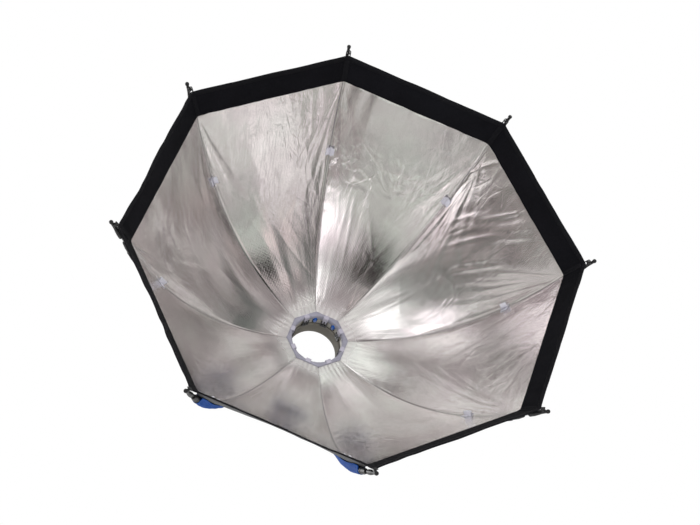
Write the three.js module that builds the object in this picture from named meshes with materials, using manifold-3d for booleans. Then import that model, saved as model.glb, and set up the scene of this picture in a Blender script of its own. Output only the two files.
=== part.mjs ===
// Collapsible octagonal studio softbox, held on a lamp head by a quick-release clamp collar.
// Millimetres, +Z up. The lamp axis is Y: the open front faces -Y, and the origin is the centre
// of the clamp collar's rear face. Corners are named as seen from the front, with +X to the right.
import * as THREE from "three";
import { mergeVertices } from "three/addons/utils/BufferGeometryUtils.js";
import Module from "manifold-3d";

const wasm = await Module();
wasm.setup();

// ---------------------------------------------------------------- driving dimensions

const SIDES = 8;
const SIDE_ANGLE = (2 * Math.PI) / SIDES;
const HALF_SIDE = SIDE_ANGLE / 2;
const GAP = 0.3;

// Front lip: an octagonal band, wider at the front edge than at its seam to the panels.
const FRONT_Y = -435;
const LIP_SEAM_Y = -389;
const FRONT_RADIUS = 450;
const LIP_SEAM_RADIUS = 424;
const LIP_THICKNESS = 1.5;

// Seam between two panels, as radius and Y: the bow that a loaded rod takes.
const FABRIC = 1.2;
const SEAM = new THREE.CubicBezierCurve(
  new THREE.Vector2(LIP_SEAM_RADIUS, LIP_SEAM_Y),
  new THREE.Vector2(353, -203),
  new THREE.Vector2(217, -69),
  new THREE.Vector2(63, -59),
);
const PANEL_STEPS = 14;

// Rods run outside the seams and leave them in a straight line near the lip.
const ROD_RADIUS = 1.6;
const ROD_OFFSET = 8;
const STRAIGHT_FROM_U = 0.1;
const SLEEVE_RADIUS = 6.3;
const BORE_RADIUS = 2.4;
const ANCHOR_START = 20;
const ANCHOR_LENGTH = 36;
const ROD_END = 106;

// Cap on each rod's front end, by lengths along the rod.
const TIP_START = 74;
const TIP_LENGTH = 58;
const TIP_BARREL = 5.2;
const TIP_BARREL_END = 27;
const TIP_STALK = 3.2;
const TIP_STALK_START = 35;
const TIP_STALK_END = 48;
const TIP_KNOB = 4.8;
const HOOK_START = 40.3;
const HOOK_END = 48;
const HOOK_REACH = 9.5;
const HOOK_WIDTH = 7;

// Speed ring, which the rods plug into.
const RING_FRONT_Y = -57.3;
const RING_SHOULDER_Y = -31;
const RING_REAR_Y = -22;
const RING_OUTER = 73;
const RING_BORE = 54;
const SKIRT_INNER = 63.2;
const SOCKET_BOTTOM = 62.6;
const RING_LIP = 3;
const RING_CHAMFER = 1.2;
const ROUND_STEPS = 48;

// Colour marker behind a coded rod's socket: a dome in a pocket of the ring's bore.
const MARKER_RADIUS = 55.5;
const MARKER_Y = -45.3;
const MARKER_HALF = [4.2, 10, 4.6];
const POCKET_DEPTH = 56;
const POCKET_HALF_WIDTH = 5.5;

// Combs that the back collar's tabs hook on.
const COMB_INNER = 49.4;
const COMB_HALF = 7;
const PRONG = 2.4;
const PRONG_FRONT_Y = -49;
const COMB_BAR_Y = -36;

// Back collar, with a tab at the middle of each panel.
const COLLAR_FACE_Y = -59.6;
const COLLAR_HOLE = 52.7;
const TAB_WIDTH = 13;
const TAB_INNER = 51.5;
const TAB_OUTER = 53;
const TAB_REAR_Y = -41;

// Clamp collar, which slides over the lamp head.
const HEAD_RADIUS = 50;
const COLLAR_BORE = 51.6;
const COLLAR_OUTER = 57;
const FLANGE_RADIUS = 62.7;
const FLANGE_REAR_Y = -25;
const REAR_RIM_RADIUS = 61;
const REAR_RIM = 2.5;
const BAND_Y = -10;
const BAND_WIDTH = 10;
const BAND_OUTER = 59.4;
const BOLT_Z = 66;
const BOLT_RADIUS = 1.9;
const NUT_RADIUS = 4.6;
const NUT_X = [-12.8, -8.3];
const EAR_X = [5, 8];
const PIN_X = 14.5;
const PIN_RADIUS = 2;
const PIN_HOLE = 2.3;
const EYE_RADIUS = 4;
const EYE_THICKNESS = 3;
const SLOTS = 6;
const SLOT_WIDTH = 2.4;
const SLOT_DEPTH = 15;
const HANDLE_INNER = 61.8;
const HANDLE_OUTER = 66;
const HANDLE_DEGREES = [31, 70];
const CHEEK_RADIUS = 6;

const CORNERS = [
  { name: "right", angle: 0, coded: false },
  { name: "upper_right", angle: SIDE_ANGLE, coded: true },
  { name: "top", angle: 2 * SIDE_ANGLE, coded: true },
  { name: "upper_left", angle: 3 * SIDE_ANGLE, coded: false },
  { name: "left", angle: 4 * SIDE_ANGLE, coded: false },
  { name: "lower_left", angle: 5 * SIDE_ANGLE, coded: true },
  { name: "bottom", angle: 6 * SIDE_ANGLE, coded: true },
  { name: "lower_right", angle: 7 * SIDE_ANGLE, coded: false },
];

// ---------------------------------------------------------------- materials

const matte = (color, roughness, metalness = 0) =>
  new THREE.MeshStandardMaterial({ color, roughness, metalness });

const SILVER_CLOTH = matte(0xc9c5c2, 0.35, 0.7);
const BLACK_CLOTH = matte(0x17171a, 0.9);
const BLUE_CLOTH = matte(0x1c56b0, 0.8);
const COLLAR_CLOTH = matte(0x8f8c9c, 0.85);
const BLACK_PLASTIC = matte(0x111113, 0.5);
const BEIGE_PLASTIC = matte(0xa39d92, 0.5);
const BLUE_PLASTIC = matte(0x1358b4, 0.35);
const RUBBER = matte(0x5b5852, 0.85);
const STEEL = matte(0xb9bbbd, 0.3, 1);

// ---------------------------------------------------------------- helpers

function solid(geometry) {
  const bare = new THREE.BufferGeometry();
  bare.setAttribute("position", geometry.getAttribute("position"));
  bare.setIndex(geometry.getIndex());
  const merged = mergeVertices(bare, 1e-4);
  return new wasm.Manifold(
    new wasm.Mesh({
      numProp: 3,
      vertProperties: merged.getAttribute("position").array,
      triVerts: new Uint32Array(merged.getIndex().array),
    }),
  );
}

function geometryOf(shape) {
  const mesh = shape.getMesh();
  const geometry = new THREE.BufferGeometry();
  geometry.setAttribute("position", new THREE.BufferAttribute(mesh.vertProperties, 3));
  geometry.setIndex(new THREE.BufferAttribute(mesh.triVerts, 1));
  const flat = geometry.toNonIndexed();
  flat.computeVertexNormals();
  return flat;
}

function part(name, geometry, material) {
  const mesh = new THREE.Mesh(geometry, material);
  mesh.name = name;
  return mesh;
}

// A box from its lowest to its highest corner.
function block(low, high) {
  const size = high.map((value, i) => value - low[i]);
  const centre = high.map((value, i) => (value + low[i]) / 2);
  return new THREE.BoxGeometry(...size).translate(...centre);
}

// A round bar along X or Y, centred on a point.
function barX(radius, fromX, toX, y, z, sides = 16) {
  return new THREE.CylinderGeometry(radius, radius, toX - fromX, sides)
    .rotateZ(Math.PI / 2)
    .translate((fromX + toX) / 2, y, z);
}

function barY(radius, fromY, toY, x, z, sides = 20) {
  return new THREE.CylinderGeometry(radius, radius, toY - fromY, sides)
    .translate(x, (fromY + toY) / 2, z);
}

// A ring about the Y axis, from the corners of its section as [radius, y], anticlockwise.
function ring(section, segments = ROUND_STEPS) {
  const points = [...section, section[0]].map(([r, y]) => new THREE.Vector2(r, y));
  return new THREE.LatheGeometry(points, segments);
}

// A copy of a solid built on the +X side, turned to an angle about Y.
const turned = (geometry, angle) => geometry.clone().rotateY(-angle);

// ---------------------------------------------------------------- panels and front lip

function seamNormal(u) {
  const tangent = SEAM.getTangent(u);
  return new THREE.Vector2(tangent.y, -tangent.x);
}

function sectorWedge() {
  const apex = GAP / 2 / Math.sin(HALF_SIDE);
  const reach = 2 * FRONT_RADIUS;
  const halfWidth = (reach - apex) * Math.tan(HALF_SIDE);
  const outline = new THREE.Shape([
    new THREE.Vector2(apex, 0),
    new THREE.Vector2(reach, -halfWidth),
    new THREE.Vector2(reach, halfWidth),
  ]);
  const depth = -2 * FRONT_Y;
  return new THREE.ExtrudeGeometry(outline, { depth, bevelEnabled: false })
    .translate(0, 0, -depth / 2)
    .rotateX(Math.PI / 2)
    .translate(0, FRONT_Y / 2, 0);
}

function panelGeometry() {
  const flatten = Math.cos(HALF_SIDE);
  const inner = [];
  const outer = [];
  for (let i = 0; i <= PANEL_STEPS; i += 1) {
    const u = i / PANEL_STEPS;
    const p = SEAM.getPoint(u);
    const n = seamNormal(u);
    const onMiddle = new THREE.Vector2(p.x * flatten, p.y);
    inner.push(onMiddle);
    outer.push(onMiddle.clone().addScaledVector(n, FABRIC));
  }
  const outline = new THREE.Shape([...inner, ...outer.reverse()]);
  const width = FRONT_RADIUS;
  const strip = new THREE.ExtrudeGeometry(outline, { depth: width, bevelEnabled: false })
    .translate(0, 0, -width / 2);
  return geometryOf(solid(strip).intersect(solid(sectorWedge())));
}

function lipGeometry() {
  const seamY = LIP_SEAM_Y - GAP;
  return ring(
    [
      [FRONT_RADIUS - LIP_THICKNESS, FRONT_Y],
      [FRONT_RADIUS, FRONT_Y],
      [LIP_SEAM_RADIUS + LIP_THICKNESS, seamY],
      [LIP_SEAM_RADIUS, seamY],
    ],
    SIDES,
  );
}

// ---------------------------------------------------------------- rods, sleeves, anchors, tips

const STRAIGHT_DIRECTION = SEAM.getTangent(STRAIGHT_FROM_U).negate();
const STRAIGHT_START = SEAM.getPoint(STRAIGHT_FROM_U).addScaledVector(
  seamNormal(STRAIGHT_FROM_U),
  ROD_OFFSET,
);

// A stretch of the rod's centreline. Below zero the position is a length in millimetres along
// the straight front end; from 0 to 1 it runs along the bowed stretch to the speed ring.
class RodLine extends THREE.Curve {
  constructor(from, to) {
    super();
    this.from = from;
    this.to = to;
    this.straight = Math.max(0, -from) - Math.max(0, -to);
    this.bowed = (Math.max(0, to) - Math.max(0, from)) * SEAM.getLength();
  }

  getPoint(t, target = new THREE.Vector3()) {
    const travel = t * (this.straight + this.bowed);
    if (travel < this.straight) {
      const along = -this.from - travel;
      const p = STRAIGHT_START.clone().addScaledVector(STRAIGHT_DIRECTION, along);
      return target.set(p.x, p.y, 0);
    }
    const share = Math.max(0, this.from) + (travel - this.straight) / SEAM.getLength();
    const u = STRAIGHT_FROM_U + share * (1 - STRAIGHT_FROM_U);
    const p = SEAM.getPoint(u).addScaledVector(seamNormal(u), ROD_OFFSET);
    return target.set(p.x, p.y, 0);
  }
}

function circleShape(radius, sides, boreRadius = 0, boreSides = 6) {
  const loop = (r, count) =>
    Array.from({ length: count }, (_, i) => {
      const a = (2 * Math.PI * i) / count;
      return new THREE.Vector2(r * Math.cos(a), r * Math.sin(a));
    });
  const shape = new THREE.Shape(loop(radius, sides));
  if (boreRadius) shape.holes.push(new THREE.Path(loop(boreRadius, boreSides)));
  return shape;
}

function rodGeometry() {
  return new THREE.ExtrudeGeometry(circleShape(ROD_RADIUS, 6), {
    extrudePath: new RodLine(-ROD_END, 1),
    steps: 20,
    bevelEnabled: false,
  });
}

function sleeveGeometry() {
  return new THREE.ExtrudeGeometry(circleShape(SLEEVE_RADIUS, 8, BORE_RADIUS, 6), {
    extrudePath: new RodLine(-ANCHOR_START + GAP, 0.965),
    steps: 15,
    bevelEnabled: false,
  });
}

// A piece that is built along +Y and then laid along a rod's straight end, running forward.
function alongRodEnd(geometry, start) {
  const angle = Math.atan2(STRAIGHT_DIRECTION.y, STRAIGHT_DIRECTION.x) - Math.PI / 2;
  const p = STRAIGHT_START.clone().addScaledVector(STRAIGHT_DIRECTION, start);
  return geometry.rotateZ(angle).translate(p.x, p.y, 0);
}

// Moulded ferrule that closes the sleeve's front end.
function anchorGeometry() {
  const profile = [
    [BORE_RADIUS, 0],
    [SLEEVE_RADIUS, 0],
    [SLEEVE_RADIUS, ANCHOR_LENGTH * 0.55],
    [SLEEVE_RADIUS - 1.6, ANCHOR_LENGTH],
    [BORE_RADIUS, ANCHOR_LENGTH],
  ];
  return alongRodEnd(ring(profile, 12), ANCHOR_START);
}

// Cap on the rod's front end: a barrel with a blind bore, a stalk with a knob to pull it by, and
// on the lip's side a hook for the corner webbing.
function tipGeometry() {
  const edge = 1.2;
  const outline = [
    [0, 0],
    [TIP_BARREL - edge, 0],
    [TIP_BARREL, edge],
    [TIP_BARREL, TIP_BARREL_END],
    [TIP_STALK, TIP_STALK_START],
    [TIP_STALK, TIP_STALK_END],
    [TIP_KNOB, TIP_STALK_END + 2 * edge],
    [TIP_KNOB, TIP_LENGTH - 2 * edge],
    [TIP_KNOB - 1.5 * edge, TIP_LENGTH],
    [0, TIP_LENGTH],
  ];
  const body = new THREE.LatheGeometry(outline.map(([r, y]) => new THREE.Vector2(r, y)), 12);
  const room = ROD_RADIUS + GAP;
  const boreDepth = ROD_END - TIP_START + 1;
  const bore = new THREE.CylinderGeometry(room, room, 2 * boreDepth, 8);
  const hookOutline = new THREE.Shape([
    new THREE.Vector2(0, HOOK_START),
    new THREE.Vector2(HOOK_REACH, HOOK_START),
    new THREE.Vector2(HOOK_REACH, HOOK_START + PRONG),
    new THREE.Vector2(TIP_STALK, HOOK_END),
    new THREE.Vector2(0, HOOK_END),
  ]);
  const hook = new THREE.ExtrudeGeometry(hookOutline, { depth: HOOK_WIDTH, bevelEnabled: false })
    .translate(0, 0, -HOOK_WIDTH / 2);
  return alongRodEnd(geometryOf(solid(body).add(solid(hook)).subtract(solid(bore))), TIP_START);
}

// ---------------------------------------------------------------- speed ring and what it holds

function rodSocket() {
  const y = SEAM.getPoint(1).y + ROD_OFFSET - GAP;
  return barX(BORE_RADIUS, SOCKET_BOTTOM, RING_OUTER + 2, y, 0, 10);
}

function markerPocket() {
  const rise = MARKER_HALF[1] + 0.7;
  return block(
    [RING_BORE - 5, MARKER_Y - rise, -POCKET_HALF_WIDTH],
    [POCKET_DEPTH, MARKER_Y + rise, POCKET_HALF_WIDTH],
  );
}

function speedRingGeometry() {
  const stepY = RING_SHOULDER_Y - 2.3;
  const body = ring([
    [RING_BORE, RING_FRONT_Y],
    [RING_OUTER - RING_CHAMFER, RING_FRONT_Y],
    [RING_OUTER, RING_FRONT_Y + RING_CHAMFER],
    [RING_OUTER, RING_REAR_Y],
    [SKIRT_INNER, RING_REAR_Y],
    [SKIRT_INNER, RING_SHOULDER_Y],
    [RING_BORE + RING_LIP, RING_SHOULDER_Y],
    [RING_BORE + RING_LIP, stepY],
    [RING_BORE, stepY],
  ]);
  let shape = solid(body);
  for (const corner of CORNERS) {
    shape = shape.subtract(solid(turned(rodSocket(), corner.angle)));
    if (corner.coded) {
      shape = shape.subtract(solid(turned(markerPocket(), corner.angle)));
    }
  }
  return geometryOf(shape);
}

// Domed colour marker behind a coded rod's socket.
function insertGeometry() {
  const dome = new THREE.SphereGeometry(1, 14, 10)
    .scale(...MARKER_HALF)
    .translate(MARKER_RADIUS, MARKER_Y, 0);
  const inside = block([0, RING_FRONT_Y, -RING_BORE], [POCKET_DEPTH - GAP, 0, RING_BORE]);
  return geometryOf(solid(dome).intersect(solid(inside)));
}

// Thin ring with a three-pronged comb at the middle of each panel, where a fabric tab hooks on.
function hookRingGeometry() {
  const footY = RING_SHOULDER_Y - 2;
  const rearY = RING_SHOULDER_Y - GAP;
  const inner = RING_BORE + GAP;
  const outer = RING_BORE + RING_LIP - GAP;
  const base = ring([
    [inner, footY],
    [outer, footY],
    [outer, rearY],
    [inner, rearY],
  ]);
  const thickness = 1.7;
  const prongs = [-1, 0, 1].map((side) => {
    const z = side * (COMB_HALF - PRONG / 2);
    const from = [COMB_INNER, PRONG_FRONT_Y, z - PRONG / 2];
    return solid(block(from, [COMB_INNER + thickness, footY, z + PRONG / 2]));
  });
  const bar = solid(
    block([COMB_INNER, COMB_BAR_Y, -COMB_HALF], [TAB_OUTER, rearY, COMB_HALF]),
  );
  const foot = solid(block([TAB_OUTER - 1, footY, -COMB_HALF], [outer - 1, rearY, COMB_HALF]));
  const comb = prongs.reduce((sum, prong) => sum.add(prong), bar.add(foot));
  let shape = solid(base);
  for (let i = 0; i < SIDES; i += 1) {
    const angle = THREE.MathUtils.radToDeg((i + 0.5) * SIDE_ANGLE);
    shape = shape.add(comb.rotate([0, -angle, 0]));
  }
  return geometryOf(shape);
}

// Fabric collar that lies on the ring's front face, with a tab at each comb.
function backCollarGeometry() {
  const radius = SEAM.getPoint(1).x - GAP / Math.cos(HALF_SIDE);
  const rearY = COLLAR_FACE_Y + FABRIC;
  const octagon = ring(
    [
      [1, COLLAR_FACE_Y],
      [radius, COLLAR_FACE_Y],
      [radius, rearY],
      [1, rearY],
    ],
    SIDES,
  );
  const hole = barY(COLLAR_HOLE, COLLAR_FACE_Y - 1, rearY + 1, 0, 0, ROUND_STEPS);
  let shape = solid(octagon).subtract(solid(hole));
  const tab = block(
    [TAB_INNER, COLLAR_FACE_Y, -TAB_WIDTH / 2],
    [TAB_OUTER, TAB_REAR_Y, TAB_WIDTH / 2],
  );
  for (let i = 0; i < SIDES; i += 1) {
    shape = shape.add(solid(turned(tab, (i + 0.5) * SIDE_ANGLE)));
  }
  return geometryOf(shape);
}

// Snap ring behind the clamp collar's flange: it lets the speed ring turn but not come off.
function retainingRingGeometry() {
  const inner = COLLAR_OUTER + 2 * GAP;
  const plug = SKIRT_INNER - GAP;
  const flangeY = RING_REAR_Y + GAP;
  const rearY = RING_REAR_Y + 4;
  return ring([
    [inner, FLANGE_REAR_Y + 2 * GAP],
    [plug, FLANGE_REAR_Y + 2 * GAP],
    [plug, flangeY],
    [RING_OUTER, flangeY],
    [RING_OUTER, rearY - 1],
    [RING_OUTER - 1, rearY],
    [inner, rearY],
  ]);
}

// ---------------------------------------------------------------- clamp collar

const COLLAR_FRONT_Y = RING_SHOULDER_Y + 0.4;

function mountCollarGeometry() {
  const body = ring([
    [COLLAR_BORE, COLLAR_FRONT_Y],
    [FLANGE_RADIUS, COLLAR_FRONT_Y],
    [FLANGE_RADIUS, FLANGE_REAR_Y],
    [COLLAR_OUTER, FLANGE_REAR_Y],
    [COLLAR_OUTER, -REAR_RIM],
    [REAR_RIM_RADIUS, -REAR_RIM],
    [REAR_RIM_RADIUS, 0],
    [COLLAR_BORE, 0],
  ]);
  const slot = block(
    [COLLAR_BORE - 3, -SLOT_DEPTH, -SLOT_WIDTH / 2],
    [REAR_RIM_RADIUS + 2, 2, SLOT_WIDTH / 2],
  );
  let shape = solid(body);
  for (let i = 0; i < SLOTS; i += 1) {
    shape = shape.subtract(solid(turned(slot, ((i + 0.5) * 2 * Math.PI) / SLOTS)));
  }
  return geometryOf(shape);
}

function rubberLiningGeometry() {
  const frontY = COLLAR_FRONT_Y + 0.2;
  const rearY = -0.5;
  return ring([
    [HEAD_RADIUS, frontY],
    [COLLAR_BORE - GAP, frontY],
    [COLLAR_BORE - GAP, rearY],
    [HEAD_RADIUS, rearY],
  ]);
}

const BAND_FRONT = BAND_Y - BAND_WIDTH / 2;
const BAND_REAR = BAND_Y + BAND_WIDTH / 2;

function clampBandGeometry() {
  const hoop = ring([
    [COLLAR_OUTER + GAP, BAND_FRONT],
    [BAND_OUTER, BAND_FRONT],
    [BAND_OUTER, BAND_REAR],
    [COLLAR_OUTER + GAP, BAND_REAR],
  ]);
  const [near, far] = EAR_X;
  const earBase = COLLAR_OUTER + 1;
  const earTop = BOLT_Z + 5.5;
  const ears = block([near, BAND_FRONT, earBase], [far, BAND_REAR, earTop]);
  const otherEar = block([-far, BAND_FRONT, earBase], [-near, BAND_REAR, earTop]);
  const split = block([-near, BAND_FRONT - 1, 0], [near, BAND_REAR + 1, 2 * BOLT_Z]);
  const hole = barX(BORE_RADIUS, -far - 1, far + 1, BAND_Y, BOLT_Z);
  const shape = solid(hoop).add(solid(ears)).add(solid(otherEar)).subtract(solid(split));
  return geometryOf(shape.subtract(solid(hole)));
}

// Bolt that draws the band's ears together, with a flat eye for the lever's pin.
function drawBoltGeometry() {
  const half = EYE_THICKNESS / 2;
  const shank = barX(BOLT_RADIUS, -PIN_X, PIN_X, BAND_Y, BOLT_Z);
  const eye = barY(EYE_RADIUS, BAND_Y - half, BAND_Y + half, PIN_X, BOLT_Z);
  const hole = barY(PIN_HOLE, BAND_FRONT, BAND_REAR, PIN_X, BOLT_Z, 14);
  return geometryOf(solid(shank).add(solid(eye)).subtract(solid(hole)));
}

function clampNutGeometry() {
  const nut = barX(NUT_RADIUS, NUT_X[0], NUT_X[1], BAND_Y, BOLT_Z, 6);
  const room = BOLT_RADIUS + GAP;
  const hole = barX(room, NUT_X[0] - 1, NUT_X[1] + 1, BAND_Y, BOLT_Z, 14);
  return geometryOf(solid(nut).subtract(solid(hole)));
}

function leverPinGeometry() {
  return barY(PIN_RADIUS, BAND_FRONT, BAND_REAR, PIN_X, BOLT_Z, 14);
}

// Cam lever: two cheeks on the pin, and a handle that lies along the band when it is shut.
function clampLeverGeometry() {
  const [from, to] = HANDLE_DEGREES.map(THREE.MathUtils.degToRad);
  const outline = new THREE.Shape();
  outline.absarc(0, 0, HANDLE_OUTER, from, to, false);
  outline.absarc(0, 0, HANDLE_INNER, to, from, true);
  const handle = new THREE.ExtrudeGeometry(outline, {
    depth: BAND_WIDTH,
    bevelEnabled: false,
    curveSegments: 10,
  })
    .rotateX(Math.PI / 2)
    .translate(0, BAND_REAR, 0);
  const cheeks = barY(CHEEK_RADIUS, BAND_FRONT, BAND_REAR, PIN_X, BOLT_Z, 24);
  const arm = block([PIN_X, BAND_FRONT, BOLT_Z - 5], [PIN_X + 9.5, BAND_REAR, BOLT_Z + 0.5]);
  const forkHalf = EYE_THICKNESS / 2 + 0.8;
  const forkRoom = block(
    [0, BAND_Y - forkHalf, BOLT_Z - 11],
    [PIN_X + EYE_RADIUS + 0.6, BAND_Y + forkHalf, BOLT_Z + 9],
  );
  const hole = barY(PIN_HOLE, BAND_FRONT - 1, BAND_REAR + 1, PIN_X, BOLT_Z, 14);
  const body = solid(handle).add(solid(cheeks)).add(solid(arm));
  return geometryOf(body.subtract(solid(forkRoom)).subtract(solid(hole)));
}

// ---------------------------------------------------------------- assembly

const softbox = new THREE.Group();

softbox.add(part("front_lip", lipGeometry(), BLACK_CLOTH));
softbox.add(part("back_collar", backCollarGeometry(), COLLAR_CLOTH));
softbox.add(part("speed_ring", speedRingGeometry(), BEIGE_PLASTIC));
softbox.add(part("tab_hook_ring", hookRingGeometry(), BLACK_PLASTIC));
softbox.add(part("retaining_ring", retainingRingGeometry(), BLACK_PLASTIC));

const panel = panelGeometry();
const rod = rodGeometry();
const sleeve = sleeveGeometry();
const anchor = anchorGeometry();
const tip = tipGeometry();
const insert = insertGeometry();

for (const { name, angle, coded } of CORNERS) {
  const corner = new THREE.Group();
  corner.rotation.y = -angle;
  corner.add(part(`rod_${name}`, rod, STEEL));
  corner.add(part(`rod_sleeve_${name}`, sleeve, coded ? BLUE_CLOTH : BLACK_CLOTH));
  corner.add(part(`sleeve_anchor_${name}`, anchor, BLACK_PLASTIC));
  corner.add(part(`rod_tip_${name}`, tip, BLACK_PLASTIC));
  if (coded) corner.add(part(`socket_insert_${name}`, insert, BLUE_PLASTIC));
  softbox.add(corner);
}

// Panels are counted clockwise from the one that follows the top corner.
for (let i = 0; i < SIDES; i += 1) {
  const gore = part(`panel_${i + 1}`, panel, SILVER_CLOTH);
  gore.rotation.y = -(Math.PI / 2 - (i + 0.5) * SIDE_ANGLE);
  softbox.add(gore);
}

const mount = new THREE.Group();
mount.add(part("mount_collar", mountCollarGeometry(), BLACK_PLASTIC));
mount.add(part("rubber_lining", rubberLiningGeometry(), RUBBER));
mount.add(part("clamp_band", clampBandGeometry(), STEEL));
mount.add(part("draw_bolt", drawBoltGeometry(), STEEL));
mount.add(part("clamp_nut", clampNutGeometry(), STEEL));
mount.add(part("lever_pin", leverPinGeometry(), STEEL));
mount.add(part("clamp_lever", clampLeverGeometry(), BLACK_PLASTIC));

const group = new THREE.Group();
group.add(softbox, mount);

export default group;
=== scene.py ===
"""Looks of the octagonal studio softbox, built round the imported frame. Metres, in the frame's axes.

The lamp axis is Y, and the open front faces -Y. A piece at a corner is drawn in a plane of radius
and Y with its width along local Z, and then turned to its corner's angle, which counts
anticlockwise from +X as seen from the front. Panel k is the k-th clockwise from the top corner.
"""

import math

import bmesh
import bpy
import numpy as np
from mathutils import Matrix, Vector


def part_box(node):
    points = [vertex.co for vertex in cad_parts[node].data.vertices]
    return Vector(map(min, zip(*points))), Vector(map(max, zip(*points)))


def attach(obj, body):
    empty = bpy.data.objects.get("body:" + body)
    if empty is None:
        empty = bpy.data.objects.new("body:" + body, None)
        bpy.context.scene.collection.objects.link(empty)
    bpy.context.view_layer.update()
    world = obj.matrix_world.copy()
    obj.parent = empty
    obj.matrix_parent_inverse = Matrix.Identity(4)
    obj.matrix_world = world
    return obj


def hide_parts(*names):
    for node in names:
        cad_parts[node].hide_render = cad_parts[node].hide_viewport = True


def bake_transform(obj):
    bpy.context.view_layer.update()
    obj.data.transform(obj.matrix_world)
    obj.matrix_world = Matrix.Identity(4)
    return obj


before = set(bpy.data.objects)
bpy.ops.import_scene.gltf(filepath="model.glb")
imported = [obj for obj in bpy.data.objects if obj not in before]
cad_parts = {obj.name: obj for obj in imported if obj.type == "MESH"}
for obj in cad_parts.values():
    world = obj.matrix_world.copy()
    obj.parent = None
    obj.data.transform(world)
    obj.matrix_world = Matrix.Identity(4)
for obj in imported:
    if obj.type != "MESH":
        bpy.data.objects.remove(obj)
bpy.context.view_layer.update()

# -------- sizes, mostly from the frame

MM = 0.001
TURN = 2 * math.pi
SIDES = 8
SIDE_ANGLE = TURN / SIDES
HALF_SIDE = SIDE_ANGLE / 2
COS_HALF, SIN_HALF = math.cos(HALF_SIDE), math.sin(HALF_SIDE)
CORNERS = "right upper_right top upper_left left lower_left bottom lower_right".split()
CODED = {"upper_right", "top", "lower_left", "bottom"}

lip_low, lip_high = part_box("front_lip")
ring_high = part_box("speed_ring")[1]
collar_low, collar_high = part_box("mount_collar")
keeper_low, keeper_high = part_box("retaining_ring")
lining_low, lining_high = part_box("rubber_lining")
band_low, band_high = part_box("clamp_band")
FRONT_Y, LIP_SEAM_Y = lip_low.y, lip_high.y
FRONT_RADIUS = lip_high.x
LIP_SEAM_RADIUS = 424 * MM
RING_RADIUS = ring_high.x
RING_BORE = 54 * MM

# The bow of a seam, as radius and Y: the same four handles as the frame's seam curve.
SEAM = np.array([[424, -389], [353, -203], [217, -69], [63, -59]]) * MM
STRAIGHT_FROM_U = 0.1
ROD_OFFSET = 8 * MM
ROD_RADIUS = 1.6 * MM
ROD_END = 106 * MM
ANCHOR_START = 20 * MM
TIP_START = 74 * MM
SAME_POINT = 1e-6

# -------- curves and noise


def seam_point(u):
    u = np.asarray(u, float)[..., None]
    a, b, c, d = SEAM
    return (1 - u) ** 3 * a + 3 * (1 - u) ** 2 * u * b + 3 * (1 - u) * u**2 * c + u**3 * d


def seam_tangent(u):
    u = np.asarray(u, float)[..., None]
    a, b, c, d = SEAM
    t = 3 * (1 - u) ** 2 * (b - a) + 6 * (1 - u) * u * (c - b) + 3 * u**2 * (d - c)
    return t / np.linalg.norm(t, axis=-1, keepdims=True)


def seam_normal(u):
    """Out of the softbox, square to the seam."""
    t = seam_tangent(u)
    return np.stack([t[..., 1], -t[..., 0]], -1)


U_STEPS = np.linspace(0, 1, 401)
S_STEPS = np.linalg.norm(np.diff(seam_point(U_STEPS), axis=0), axis=1)
S_STEPS = np.concatenate([[0], np.cumsum(S_STEPS)])
SEAM_LENGTH = float(S_STEPS[-1])
BOW_START = float(np.interp(STRAIGHT_FROM_U, U_STEPS, S_STEPS))
ROD_AHEAD = -seam_tangent(STRAIGHT_FROM_U)
ROD_OUT = seam_normal(STRAIGHT_FROM_U)
ROD_START = seam_point(STRAIGHT_FROM_U) + ROD_OFFSET * ROD_OUT


def u_at(share):
    """The curve's parameter at a share of the seam's length, counted from the lip."""
    return np.interp(np.asarray(share) * SEAM_LENGTH, S_STEPS, U_STEPS)


def rod_line(place):
    """Centre of a rod and the way out of the softbox there, as radius and Y. Place is a length
    from where the straight end meets the bow: negative runs forward, positive to the ring."""
    place = np.asarray(place, float)
    u = u_at((BOW_START + np.maximum(place, 0)) / SEAM_LENGTH)
    out = seam_normal(u)
    point = seam_point(u) + ROD_OFFSET * out - np.minimum(place, 0)[..., None] * ROD_AHEAD
    return point, out


def smooth(x, low, high):
    t = np.clip((np.asarray(x, float) - low) / (high - low), 0, 1)
    return t * t * (3 - 2 * t)


class Noise:
    """Smooth noise of a fixed seed: a grid of random values, read with quintic weights."""

    SIZE = 64

    def __init__(self, seed):
        self.grid = np.random.default_rng(seed).uniform(-1, 1, (self.SIZE, self.SIZE))

    def __call__(self, x, y):
        x, y = np.broadcast_arrays(np.asarray(x, float), np.asarray(y, float))
        ix, iy = np.floor(x).astype(int), np.floor(y).astype(int)
        fx, fy = x - ix, y - iy
        fx, fy = fx**3 * (fx * (6 * fx - 15) + 10), fy**3 * (fy * (6 * fy - 15) + 10)
        g, n = self.grid, self.SIZE
        a = g[ix % n, iy % n] * (1 - fx) + g[(ix + 1) % n, iy % n] * fx
        b = g[ix % n, (iy + 1) % n] * (1 - fx) + g[(ix + 1) % n, (iy + 1) % n] * fx
        return a * (1 - fy) + b * fy

    def ridged(self, x, y):
        """Sharp crests along the lines where the noise crosses zero."""
        return 1 - 2 * np.abs(self(x, y)) ** 0.8


# -------- mesh helpers


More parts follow.
